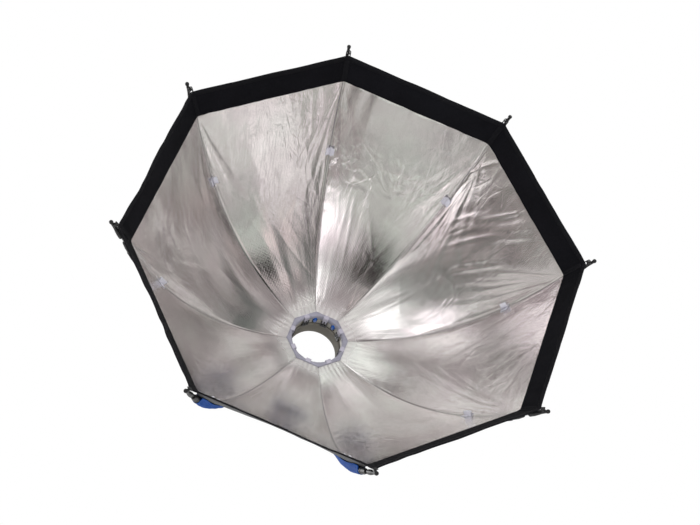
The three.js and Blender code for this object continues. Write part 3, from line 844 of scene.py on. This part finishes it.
def make_corner_patch(corner):
    """Folded webbing that holds the loop, sewn round the lip's corner on the outside."""
    w = np.linspace(0.5, 0.99, 12)
    taper = 0.55 + 0.45 * smooth(w, 0.5, 0.8)
    lift = 1.3 * MM + 0.5 * MM * smooth(w, 0.82, 0.9) * (1 - smooth(w, 0.9, 0.99))
    over_the_corner("corner_patch", corner, w, 9 * MM, lift, 1.8 * MM, taper)


def make_lip():
    w = np.linspace(0, 1, LIP_ROWS)
    lip = round_the_lip("lip_cloth", w, 0 * w, "black", False)
    thicken(lip, 1.0 * MM)
    seat(lip, "softbox", "lip_cloth", "front_lip")

    hem_w = np.array([0.0, 0.012, 0.16, 0.18, 0.19, 0.18, 0.16, 0.012, 0.0]) + HEM_FROM
    hem_lift = np.array([-0.7, -1.3, -1.4, -1.0, 0.1, 1.1, 1.5, 1.4, 0.8]) * MM
    hem = round_the_lip("lip_hem", hem_w, hem_lift, "binding", True)
    seat(hem, "softbox", "lip_cloth")

    tapes = [make_corner_tape(corner) for corner in range(SIDES)]


# -------- rods and their sleeves

SLEEVE_END = 0.965 * (SEAM_LENGTH - BOW_START)
SLEEVE_ARCH = 6.8 * MM
SLEEVE_CLOTH = 0.9 * MM
SLEEVE_STEPS, ARCH_STEPS = 150, 13


def make_sleeve(corner):
    """Casing sewn over the seam outside: a strip that arches over the rod, with flat flanges."""
    name = CORNERS[corner]
    noise = Noise(800 + corner)
    place = np.linspace(-ANCHOR_START + 0.6 * MM, SLEEVE_END, SLEEVE_STEPS)
    rod, out = rod_line(place)
    u = u_at((BOW_START + place) / SEAM_LENGTH)
    seam, seam_out = seam_point(u), seam_normal(u)

    def flange_line(z):
        rise = 2.0 * MM + 0.25 * MM * noise(place * 70, z * 90)
        drop = np.array([abs(z) * math.tan(HALF_SIDE), 0.0])
        return in_corner(seam + rise[:, None] * seam_out - drop, z)

    def arch_line(a):
        bulge = 0.5 * MM * noise(place * 60, a * 1.5) + 0.35 * MM * noise(place * 160, a)
        radius = SLEEVE_ARCH + bulge
        return in_corner(rod + (radius * math.cos(a))[:, None] * out, radius * math.sin(a))

    flange = np.array([14.5, 12.0, 9.8, 8.0, 6.5]) * MM
    columns = [flange_line(-z) for z in flange]
    columns += [arch_line(a) for a in np.radians(np.linspace(-90, 90, ARCH_STEPS))]
    columns += [flange_line(z) for z in flange[::-1]]
    points = np.stack(columns, 1)
    across = np.linalg.norm(np.diff(points, axis=1), axis=-1).mean(0)
    widths = np.concatenate([[0], np.cumsum(across)])
    cloth, slot = ("blue", "blue_cloth") if name in CODED else ("black", "sleeve_cloth")
    points, uvs = at_corner(points, corner), grid_uvs(place, widths)
    obj = strip(f"sleeve_{name}", points, uvs, cloth, SLEEVE_CLOTH)
    seat(obj, "softbox", slot, f"rod_sleeve_{name}")


def make_rod(corner):
    name, steps = CORNERS[corner], 90
    centre, out = rod_line(np.linspace(-ROD_END, SEAM_LENGTH - BOW_START, steps))
    across = [(0, 0, 1)] * steps
    points, faces = tube(in_corner(centre), in_corner(out), across, circle(ROD_RADIUS, 14))
    shape = at_corner(points, corner), faces
    solid(f"spring_rod_{name}", shape, "steel", "spring_steel", f"rod_{name}", sharp=50)


def at_rod_end(points, start, corner):
    """Local +Y along a rod's straight end, running forward, and +X towards the lip."""
    points = np.asarray(points, float)
    r_y = ROD_START + (start + points[:, 1:2]) * ROD_AHEAD - points[:, :1] * ROD_OUT
    return at_corner(in_corner(r_y, points[:, 2]), corner)


def make_anchor(corner):
    """Moulded ferrule that shuts the sleeve, with grip rings and a rounded front."""
    wall = [[2.4, 0], [6.2, 0], [6.2, 9], [5.7, 9.6], [5.7, 10.6], [6.2, 11.2], [6.2, 13.6]]
    wall += [[5.7, 14.2], [5.7, 15.2], [6.2, 15.8], [6.1, 20], [4.6, 33], [4.0, 36], [2.4, 36]]
    points, faces = turned(rounded_mm(wall, 0.5, steps=3))
    shape, name = (at_rod_end(points, ANCHOR_START, corner), faces), CORNERS[corner]
    solid(f"anchor_{name}", shape, "plastic", "black_plastic", f"sleeve_anchor_{name}")


def make_tip(corner):
    """Pull cap on a rod's front end: barrel, stalk and knob, and a hook for the corner loop."""
    outline = [[0, 0], [4.2, 0], [5.0, 1.2], [5.0, 5], [4.6, 5.5], [4.6, 6.5], [5.0, 7], [4.9, 15]]
    outline += [[4.1, 25], [3.1, 33], [2.9, 41], [3.0, 50], [3.9, 51.5], [4.0, 54.6]]
    outline += [[2.8, 56.6], [0, 56.6]]
    cap = turned(rounded_mm(outline, 1.0, closed=False), segments=28, closed=False)
    fin = [[0, 40.3], [9.0, 40.3], [9.5, 41.5], [9.2, 43], [6, 44.8], [2.9, 47], [0, 47]]
    points, faces = joined(cap, extruded(rounded_mm(fin, 0.8), 5 * MM))
    shape, name = (at_rod_end(points, TIP_START, corner), faces), CORNERS[corner]
    body, node = f"tip_{name}", f"rod_tip_{name}"
    solid(f"tip_cap_{name}", shape, "plastic", "black_plastic", node, body=body)


def make_corner_loop(corner):
    """Elastic loop from the lip's corner round the tip's hook."""
    name, half, front = CORNERS[corner], 4.2, 48.4
    side = [(8.6, 26, 3.2), (8.0, 31, 4.2), (7.6, 36, half), (7.2, 41, half)]
    bend = [
        (6.8, front - half + half * math.sin(a), half * math.cos(a))
        for a in np.radians(np.linspace(0, 180, 13))
    ]
    path = np.array([*side, *bend, *((x, y, -z) for x, y, z in side[::-1])]) * MM
    points, faces = swept(path, circle(1.1 * MM, 10), (1, 0, 0))
    points = at_rod_end(points, TIP_START, corner)
    obj = add_mesh(f"corner_loop_{name}", points, faces, None, "thread", weld=True, sharp=60)
    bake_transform(obj)


# -------- back collar and its tabs

COLLAR_CORNER = 65.3 * MM
COLLAR_INNER = 53.2 * MM


def make_back_collar():
    """Plush cloth bound over the ring's front edge: an octagon outside, a circle inside."""
    noise, steps = Noise(900), 288
    angles = np.linspace(0, TURN, steps, endpoint=False)
    outer = COLLAR_CORNER * COS_HALF / np.cos(angles % SIDE_ANGLE - HALF_SIDE)
    # Each point: a share of the way out, a distance outwards and a Y, in millimetres.
    section = [
        (0, 0.0, -50.5), (0, -0.1, -54), (0, 0.0, -57.5), (0, 0.4, -59.6), (0, 1.3, -60.9),
        (0, 2.6, -61.6), (0.35, 0.9, -61.6), (0.6, 0.4, -61.3), (0.85, 0, -61.0), (0.97, 0, -60.7),
        (1, 0.0, -60.2), (1, -0.4, -59.5), (0.8, 0, -59.0), (0.5, 0, -58.4), (0, 2.0, -58.3),
        (0, 0.8, -57.4), (0, 0.7, -55), (0, 0.6, -50.6),
    ]
    front = range(3, 11)
    columns = []
    for k, (share, step, y) in enumerate(section):
        plush = 0.28 * MM * noise(angles * 14, k * 0.6) + 0.2 * MM * noise(angles * 40, k * 0.9)
        r = COLLAR_INNER * (1 - share) + outer * share + step * MM - 0.5 * plush
        y = y * MM - (k in front) * (plush + 0.35 * MM * noise(angles * 6, 7.7))
        columns.append(np.stack([r * np.cos(angles), y + 0 * r, r * np.sin(angles)], -1))
    points = np.stack(columns, 1)
    rows, cols = points.shape[:2]
    round_step, across_step = TURN * 58 * MM / rows, 1.7 * MM
    uvs = grid_uvs(np.arange(rows) * round_step, np.arange(cols) * across_step)
    faces = grid_faces(rows, cols, True, True)
    obj = add_mesh("collar_cloth", points.reshape(-1, 3), faces, uvs, "lavender")
    return seat(obj, "softbox", "collar_cloth", "back_collar")


def make_collar_tab(index):
    """Webbing tab from the collar's front face, over its edge and down behind the comb's prongs."""
    line = [[59.5, -61.7], [56, -62.6], [53, -63.0], [51.3, -61.6], [50.9, -58.5], [51.4, -53]]
    line += [[51.9, -48], [52.1, -44], [52.2, -41.2]]
    thick, wide = 0.62, 5.4
    section = [[-thick, -wide], [-thick, 0], [-thick, wide]]
    section += [[thick, wide], [thick, 0], [thick, -wide]]
    line = in_corner(rounded_mm(line, 2, closed=False))
    points, faces = swept(line, rounded_mm(section, 0.5, steps=3))
    shape = at_angle(points, middle_angle(index)), faces
    return solid(f"collar_tab_{index}", shape, "tab", "collar_cloth", sharp=60)


def make_collar():
    collar = make_back_collar()
    tabs = [make_collar_tab(index) for index in range(1, SIDES + 1)]


# -------- speed ring

SOCKET_Y = float(rod_line(SEAM_LENGTH - BOW_START)[0][1])
MARKER_Y = -45.3 * MM
MARKER_RADIUS = 55.6 * MM
POCKET_CENTRE, POCKET_DEPTH = 52 * MM, 8 * MM
POCKET_WALL = 61 * MM
POCKET_HALF = 10.7 * MM
SOCKET_FLOOR = 62.6 * MM


def radial(shape, angle, radius, y):
    """Local +Y turned to point outwards at an angle, from a radius and Y."""
    points, faces = shape
    moved = np.stack([radius + points[:, 1], y + points[:, 0], points[:, 2]], -1)
    return at_angle(moved, angle), faces


def upright(shape, y):
    """A shape drawn in X and Z, whose width lies along Y round a given Y."""
    points, faces = shape
    return np.stack([points[:, 0], y + points[:, 2], points[:, 1]], -1), faces


def make_speed_ring():
    outer, rear = RING_RADIUS / MM, ring_high.y / MM
    section = [[54, -57.3], [71.8, -57.3], [73, -56.1], [73, -43], [72.1, -42.2], [72.1, -39]]
    section += [[73, -38.2], [73, -34], [72.1, -33.2], [72.1, -30], [73, -29.2]]
    section += [[outer, rear], [63.2, rear], [63.2, -31], [57, -31], [57, -33.3], [54, -33.3]]
    body = lathe("speed_ring_moulding", np.array(section) * MM, "ring", 160)
    hole = np.array([[0, -2], [2.4, -2], [2.4, 20], [0, 20]]) * MM
    hole = turned(hole, segments=20, closed=False)
    outline = [[-10.6, -5.4], [10.6, -5.4], [10.6, 5.4], [-10.6, 5.4]]
    pocket, pocket_faces = extruded(rounded_mm(outline, 3.5), POCKET_DEPTH)
    pocket = pocket[:, [2, 0, 1]] + np.array([POCKET_CENTRE, MARKER_Y, 0])
    cutters = []
    for corner, name in enumerate(CORNERS):
        cutters.append(radial(hole, corner * SIDE_ANGLE, SOCKET_FLOOR, SOCKET_Y))
        if name in CODED:
            cutters.append((at_corner(pocket, corner), pocket_faces))
    cut(body, *joined(*cutters))
    body.data.materials.append(MATERIALS["plastic"])
    for face in body.data.polygons:
        radius = math.hypot(face.center.x, face.center.z)
        near_marker = abs(face.center.y - MARKER_Y) < POCKET_HALF
        inside = RING_BORE + 0.1 * MM < radius < POCKET_WALL
        face.material_index = int(near_marker and inside)
    seat(body, "softbox", "ring_plastic", "speed_ring")


def make_socket_boss(corner):
    """Collar moulded round a rod's socket on the outside of the ring."""
    name = CORNERS[corner]
    wall = [[2.5, -1.2], [6.4, -1.2], [6.4, 1.8], [5.2, 3.2], [3.2, 3.2], [2.5, 2.6]]
    ring = turned(rounded_mm(wall, 0.4), segments=28)
    shape = radial(ring, corner * SIDE_ANGLE, RING_RADIUS, SOCKET_Y)
    blue = name in CODED
    material, slot = ("blue_gloss", "blue_plastic") if blue else ("plastic", "black_plastic")
    solid(f"socket_boss_{name}", shape, material, slot)


def make_marker(corner):
    """Glossy domed marker in its pocket, with a flat rim and a faceted crown."""
    name, rings, steps = CORNERS[corner], 10, 32
    long_half, short_half, height = 9.8 * MM, 4.8 * MM, 5.2 * MM
    points = []
    for level in np.linspace(0, 1, rings):
        lift = height * math.sin(level * math.pi / 2)
        shrink = math.cos(level * math.pi / 2) ** 0.5
        for a in np.linspace(0, TURN, steps, endpoint=False):
            facet = shrink * (1 - 0.06 * abs(math.sin(2 * a)) * level)
            y, z = long_half * facet * math.cos(a), short_half * facet * math.sin(a)
            points.append([MARKER_RADIUS - lift, MARKER_Y + y, z])
    faces = grid_faces(rings, steps, False, True) + [tuple(range(steps))]
    shape, node = (at_corner(np.array(points), corner), faces), f"socket_insert_{name}"
    solid(f"marker_dome_{name}", shape, "blue_gloss", "blue_plastic", node, sharp=45)


def make_retaining_ring():
    """Snap ring behind the speed ring, with finger scallops round its rim."""
    inner, outer, plug = 57.6 * MM, keeper_high.x, 62.9 * MM
    front, step, rear = keeper_low.y, -21.7 * MM, keeper_high.y
    chamfer, groove = 1 * MM, rear - 0.7 * MM
    section = [[inner, front], [plug, front], [plug, step], [outer, step], [outer, rear - chamfer]]
    section += [[outer - chamfer, rear], [66 * MM, rear], [65.4 * MM, groove], [61 * MM, groove]]
    section += [[60.4 * MM, rear], [inner, rear]]
    points, faces = turned(rounded(section, 0.4 * MM), segments=240)
    radius = np.hypot(points[:, 0], points[:, 2])
    turn = np.arctan2(points[:, 2], points[:, 0])
    bite = 0.9 * MM * np.abs(np.cos(12 * turn)) ** 6 * smooth(radius, outer - 4 * MM, outer)
    points[:, [0, 2]] *= (1 - bite / radius)[:, None]
    solid("keeper_ring", (points, faces), "plastic", "black_plastic", "retaining_ring")


def finish_hook_ring():
    """The comb ring keeps its frame mesh, with eased edges and black combs."""
    comb_half, ease = 7.4 * MM, 0.35 * MM
    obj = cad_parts["tab_hook_ring"]
    obj.data.materials.clear()
    obj.data.materials.append(MATERIALS["rubber"])
    obj.data.materials.append(MATERIALS["plastic"])
    for face in obj.data.polygons:
        x, _, z = obj.matrix_world @ face.center
        turn = (math.atan2(z, x) % SIDE_ANGLE) - HALF_SIDE
        face.material_index = int(abs(math.hypot(x, z) * math.sin(turn)) < comb_half)
    weld = obj.modifiers.new("weld", "WELD")
    weld.merge_threshold = 1e-5
    bevel = obj.modifiers.new("bevel", "BEVEL")
    bevel.width = ease
    bevel.segments = 2
    bevel.limit_method = "ANGLE"
    bevel.angle_limit = math.radians(40)


# -------- clamp collar

BAND_Y = (band_low.y + band_high.y) / 2
BAND_HALF = (band_high.y - band_low.y) / 2
BOLT_Z = 66 * MM
PIN_X = 14.5 * MM
PIN = np.array([PIN_X, BAND_Y, BOLT_Z])
SLOTS = 6


def make_mount_collar():
    rear, front = collar_high.y, collar_low.y
    bore, wall, rim, flange = 51.6 * MM, 57 * MM, 61 * MM, 62.7 * MM
    flange_rear, rim_front = -25 * MM, rear - 2.5 * MM
    section = [[bore, front], [flange, front], [flange, flange_rear], [wall, flange_rear]]
    section += [[wall, rim_front], [rim, rim_front], [rim, rear], [bore, rear]]
    body = lathe("clamp_collar", section, "plastic", 180)
    slot, faces = extruded(np.array([[48, -15], [64, -15], [64, 3], [48, 3]]) * MM, 2.4 * MM)
    cutters = [(at_angle(slot, (i + 0.5) * TURN / SLOTS), faces) for i in range(SLOTS)]
    cut(body, *joined(*cutters))
    seat(body, "mount", "black_plastic", "mount_collar")


def make_lining():
    """Rubber sleeve with grip ribs inside and a thin cuff over the collar's front."""
    front, rear, outer = lining_low.y, lining_high.y, lining_high.x
    inner, rib, face, cuff = 50.0 * MM, 0.5 * MM, collar_low.y, 0.35 * MM
    groove = inner + rib
    section = [[outer, rear], [outer, face], [RING_BORE, face], [RING_BORE, face - cuff]]
    section += [[groove, face - cuff]]
    for y in np.arange(front + 1.5 * MM, rear - 2 * MM, 3 * MM):
        section += [[groove, y], [inner, y + 0.7 * MM]]
        section += [[inner, y + 1.5 * MM], [groove, y + 2.2 * MM]]
    section += [[groove, rear]]
    body = lathe("grip_lining", section[::-1], "rubber", 160, 0.15 * MM)
    seat(body, "mount", "grey_rubber", "rubber_lining")


def make_clamp_band():
    """Split steel band with a rolled edge and two turned-up ears."""
    inner, outer, steps = 57.3 * MM, 59.4 * MM, 160
    low, high = BAND_Y - BAND_HALF, BAND_Y + BAND_HALF
    edge, middle = 1.2 * MM, outer - 0.5 * MM
    section = [[inner, low], [outer, low], [outer, low + edge], [middle, low + 1.8 * edge]]
    section += [[middle, high - 1.8 * edge], [outer, high - edge], [outer, high], [inner, high]]
    gap = math.asin(5.4 * MM / outer)
    arc = turned(rounded(section, 0.25 * MM), math.pi / 2 + gap, TURN - 2 * gap, steps)
    parts = [skinned(np.split(arc[0], steps))]
    foot, shoulder, top = 57.5 * MM, 69 * MM, 71.5 * MM
    outline = [[low, foot], [high, foot], [high, shoulder], [BAND_Y + 2 * MM, top]]
    outline += [[BAND_Y - 2 * MM, top], [low, shoulder]]
    ear, faces = extruded(rounded(outline, 1.8 * MM), 2.4 * MM)
    for side in (-1, 1):
        parts.append((np.stack([side * 6.5 * MM + ear[:, 2], ear[:, 0], ear[:, 1]], -1), faces))
    solid("steel_band", joined(*parts), "zinc", "zinc_steel", "clamp_band", body="mount")


def make_draw_bolt():
    thread = [[0, -14.5]]
    for x in np.arange(-14, -7.5, 0.8):
        thread += [[1.55, x], [1.9, x + 0.4]]
    thread += [[1.85, -7], [1.85, 10.5], [1.6, 11.2], [0, 11.2]]
    shank, shank_faces = turned(np.array(thread) * MM, segments=24, closed=False)
    shank = shank[:, [1, 0, 2]] + np.array([0, BAND_Y, BOLT_Z])
    wall = [[2.3, -1.5], [4, -1.5], [4, 1.5], [2.3, 1.5]]
    eye, eye_faces = turned(rounded_mm(wall, 0.4))
    shape = joined((shank, shank_faces), (eye + PIN, eye_faces))
    solid("eye_bolt", shape, "zinc", "zinc_steel", "draw_bolt", body="mount")


def make_clamp_nut():
    """Hexagon nut with chamfered corners and a washer face."""
    flats, washer_from = 4.6 * MM, -8.95
    turn = np.tile(np.arange(6) / 6, 6)[:, None]
    rows = []
    for x, scale in ((-12.8, 0.9), (-12.2, 1), (-9, 1), (-8.9, 0.96), (-8.7, 1.02), (-8.3, 1.02)):
        radius = flats * scale
        start = np.repeat(circle(radius, 6), 6, axis=0)
        ring = start * (1 - turn) + np.roll(start, -6, axis=0) * turn
        if x > washer_from:
            ring = ring / np.linalg.norm(ring, axis=1, keepdims=True) * radius
        flat = np.full(len(ring), x * MM)
        rows.append(np.column_stack([flat, BAND_Y + ring[:, 0], BOLT_Z + ring[:, 1]]))
    solid("hex_nut", skinned(rows), "zinc", "zinc_steel", "clamp_nut", body="mount", sharp=30)


def make_lever_pin():
    half = BAND_HALF / MM
    outline = [[0, -half], [1.5, -half], [2, 0.5 - half], [2, half - 0.5], [1.5, half], [0, half]]
    points, faces = turned(rounded_mm(outline, 0.2, closed=False), segments=24, closed=False)
    solid("hinge_pin", (points + PIN, faces), "zinc", "zinc_steel", "lever_pin", body="mount")


def make_clamp_lever():
    """Moulded cam lever with a ribbed grip, that lies round the collar when shut."""
    inner, outer, steps, half = 61.8, 66.0, 60, BAND_HALF / MM
    rows = []
    for k, degrees in enumerate(np.linspace(70, 31, steps)):
        place = k / (steps - 1)
        end = smooth(place, 0.93, 1.0)
        grip = 0.35 * math.sin(k * 1.4) * float(smooth(place, 0.45, 0.55) * (1 - end))
        top, wide = outer + grip - 1.1 * end, half - 1.6 * end
        waist = inner + 0.4 * (top - inner)
        outline = [[inner, -wide], [waist, -wide], [top, 1.2 - wide], [top, 0]]
        outline += [[top, wide - 1.2], [waist, wide], [inner, wide]]
        ring = in_corner(rounded_mm(outline, 0.5, steps=3)) + np.array([0, BAND_Y, 0])
        rows.append(at_angle(ring, math.radians(degrees)))
    parts = [skinned(rows)]
    wall = rounded_mm([[2.2, 2.35], [6, 2.35], [6, 5], [2.2, 5]], 0.4)
    cheek, cheek_faces = turned(wall, segments=40)
    web = rounded_mm([[17.5, 61.2], [24, 60.4], [25.5, 62], [22, 66.3], [17, 68]], 1.0)
    for side in (-1, 1):
        parts.append((cheek * np.array([1, side, 1]) + PIN, cheek_faces))
        parts.append(upright(extruded(web, 2.65 * MM), BAND_Y + side * 3.67 * MM))
    bridge = rounded_mm([[19.8, 61.4], [25, 60.6], [25.5, 62], [22, 65.8], [19.8, 66]], 0.6)
    parts.append(upright(extruded(bridge, 8 * MM), BAND_Y))
    shape = joined(*parts)
    solid("cam_lever", shape, "plastic", "black_plastic", "clamp_lever", body="clamp_lever")


# -------- camera, light and floor

CAMERA_PLACE = Vector((-0.6543, -2.783, -1.4834))
CAMERA_AZIMUTH, CAMERA_ELEVATION, CAMERA_ROLL = (math.radians(x) for x in (15.08, 30.71, 3.4))
CAMERA_LENS, CAMERA_SENSOR = 78.6, 36
FLOOR_Z, FLOOR_REACH = -2.3, 9
WHITE = (1.0, 1.0, 1.0)
STUDIO_BEHIND = (0.95, 0.95, 0.95)
STUDIO_BASE = (0.42, 0.39, 0.385)
# What the silver cloth reflects in front of the softbox, as soft patches: azimuth from straight
# ahead and elevation, tilt, half width and half height in degrees, softness, and colour. A patch
# covers the ones above it.
STUDIO_PATCHES = [
    (0, 75, 0, 120, 35, 0.4, (0.62, 0.63, 0.61)),
    (5, -78, 0, 40, 15, 0.3, (1.10, 1.12, 1.08)),
    (-25, 40, 0, 42, 14, 0.3, (1.00, 1.02, 0.97)),
    (4, 31, 0, 14, 6, 0.2, (0.92, 0.92, 0.90)),
    (-50, 27, 0, 12, 9, 0.3, (0.40, 0.38, 0.37)),
    (-62, 5, 0, 12, 20, 0.3, (0.36, 0.37, 0.35)),
    (57, -4, 0, 16, 22, 0.3, (0.15, 0.16, 0.15)),
    (27, -9, 0, 8, 7, 0.2, (0.18, 0.16, 0.16)),
    (-34, -16, 0, 8, 6, 0.2, (1.05, 1.02, 1.03)),
    (-12, -13, 0, 4, 9, 0.2, (0.85, 0.82, 0.82)),
    (-13, 12, 0, 8, 7, 0.2, (0.95, 0.93, 0.92)),
    (8, 3, 0, 6, 5, 0.3, (0.74, 0.71, 0.70)),
    (42, 24, 20, 12, 10, 0.3, (0.34, 0.31, 0.31)),
    (24, 14, 0, 9, 6, 0.3, (1.60, 1.60, 1.55)),
    (-5, -13, 0, 6, 5, 0.3, (0.22, 0.20, 0.20)),
    (0, -11, 0, 9, 5, 0.3, (0.34, 0.30, 0.30)),
    (-40, -58, 10, 34, 13, 0.3, (0.64, 0.66, 0.61)),
    (46, -52, 0, 22, 12, 0.3, (0.60, 0.63, 0.58)),
    (36, -29, 40, 22, 8, 0.15, (1.00, 0.86, 0.84)),
    (-44, -30, 30, 22, 7, 0.15, (1.00, 0.88, 0.92)),
    (13, -42, -30, 27, 6, 0.15, (0.02, 0.018, 0.017)),
    (-4, -36, -30, 11, 6, 0.15, (0.06, 0.05, 0.048)),
    (15, -36, -20, 13, 7, 0.12, (0.03, 0.027, 0.025)),
    (33, -27, 0, 9, 6, 0.2, (0.60, 0.58, 0.57)),
    (-5, -26, 0, 9, 5, 0.3, (0.10, 0.09, 0.085)),
    (-30, 3, 6, 15, 14, 0.15, (1.70, 1.68, 1.66)),
    (-61, -35, 0, 14, 9, 0.2, (3.4, 3.28, 3.32)),
    (-53, -19, 0, 8, 6, 0.2, (2.4, 2.28, 2.32)),
    (-60, -9, 0, 9, 4, 0.3, (0.36, 0.34, 0.33)),
    (-44, -11, 0, 5, 3, 0.3, (0.40, 0.38, 0.37)),
]


def make_camera():
    flat = math.cos(CAMERA_ELEVATION)
    sideways, forward = math.sin(CAMERA_AZIMUTH) * flat, math.cos(CAMERA_AZIMUTH) * flat
    ahead = Vector((sideways, forward, math.sin(CAMERA_ELEVATION)))
    data = bpy.data.cameras.new("camera")
    data.sensor_width = CAMERA_SENSOR
    data.lens = CAMERA_LENS
    camera = bpy.data.objects.new("camera", data)
    bpy.context.scene.collection.objects.link(camera)
    camera.rotation_mode = "QUATERNION"
    roll = Matrix.Rotation(CAMERA_ROLL, 3, ahead).to_quaternion()
    camera.rotation_quaternion = roll @ ahead.to_track_quat("-Z", "Y")
    camera.location = CAMERA_PLACE
    bpy.context.scene.camera = camera


def area_light(name, place, target, size, power, mirrored=True):
    """A soft rectangular light, that the silver cloth may or may not reflect."""
    data = bpy.data.lights.new(name, "AREA")
    data.shape = "RECTANGLE"
    data.size, data.size_y = size
    data.energy = power
    light = bpy.data.objects.new(name, data)
    light.visible_glossy = mirrored
    light.location = place
    light.rotation_mode = "QUATERNION"
    light.rotation_quaternion = (Vector(target) - Vector(place)).to_track_quat("-Z", "Y")
    bpy.context.scene.collection.objects.link(light)


def patch_factor(nodes, direction, azimuth, elevation, tilt, half_width, half_height, softness):
    """1 inside a soft-edged ellipse of directions, 0 outside it."""
    a, e, r = (math.radians(x) for x in (azimuth, elevation, tilt))
    centre = Vector((math.sin(a) * math.cos(e), -math.cos(a) * math.cos(e), math.sin(e)))
    side = Vector((math.cos(a), math.sin(a), 0))
    up = centre.cross(side) * -1
    across = side * math.cos(r) + up * math.sin(r)
    along = up * math.cos(r) - side * math.sin(r)
    squares = []
    for axis, half in ((across, half_width), (along, half_height)):
        size = 2 * math.sin(math.radians(half) / 2)
        place = nodes.dot(direction, axis / size)
        off = nodes.math("SUBTRACT", place, centre.dot(axis) / size)
        squares.append(nodes.math("MULTIPLY", off, off))
    distance = nodes.math("SQRT", nodes.math("ADD", *squares))
    inside = nodes.ranged(distance, 1 - softness, 1 + softness, 1, 0, "SMOOTHSTEP")
    same_side = nodes.ranged(nodes.dot(direction, centre), 0, 0.3, 0, 1)
    return nodes.math("MULTIPLY", inside, same_side)


def make_world():
    """A pale studio: white to the camera, and a soft set of panels to everything else."""
    world = bpy.data.worlds.new("studio")
    bpy.context.scene.world = world
    world.use_nodes = True
    nodes = Nodes(world.node_tree, "Background")
    direction = nodes.add("TexCoord", "Generated")
    toward_rear = nodes.add("SeparateXYZ", "Y", Vector=direction)
    behind = nodes.ranged(toward_rear, -0.1, 0.5, 0, 1, "SMOOTHSTEP")
    color = nodes.mixed(behind, STUDIO_BASE, STUDIO_BEHIND)
    for *ellipse, tint in STUDIO_PATCHES:
        color = nodes.mixed(patch_factor(nodes, direction, *ellipse), color, tint)
    color = nodes.mixed(nodes.add("LightPath", "Is Camera Ray"), color, WHITE)
    nodes.shade(Color=color)


def make_floor():
    a, z = FLOOR_REACH, FLOOR_Z
    floor = add_mesh("floor", [(-a, -a, z), (a, -a, z), (a, a, z), (-a, a, z)], [(0, 1, 2, 3)])
    floor.data.materials.append(floor_paper())
    floor.visible_glossy = False


# -------- everything in the scene

for panel_index in range(1, SIDES + 1):
    make_panel(panel_index)
make_lip()
make_collar()
for corner_index in range(SIDES):
    make_seam_stitches(corner_index)
    make_baffle_tab(corner_index)
    make_sleeve(corner_index)
    make_rod(corner_index)
    make_anchor(corner_index)
    make_tip(corner_index)
    make_corner_loop(corner_index)
    make_corner_patch(corner_index)
    if CORNERS[corner_index] in CODED:
        make_marker(corner_index)
make_speed_ring()
for corner_index in range(SIDES):
    make_socket_boss(corner_index)
finish_hook_ring()
make_retaining_ring()
make_mount_collar()
make_lining()
make_clamp_band()
make_draw_bolt()
make_clamp_nut()
make_lever_pin()
make_clamp_lever()

make_camera()
make_world()
make_floor()
area_light("key", (1.8, -1.2, 2.6), (0, -0.2, 0), (1.6, 1.6), 40)
area_light("rear_fill", (-1.5, 2.4, 1.6), (0, -0.2, 0), (1.8, 1.8), 50)
area_light("front_fill", (-0.3, -3.0, -1.0), (0, -0.1, 0), (1.6, 1.2), 42, mirrored=False)

bpy.context.scene.view_settings.view_transform = "Standard"
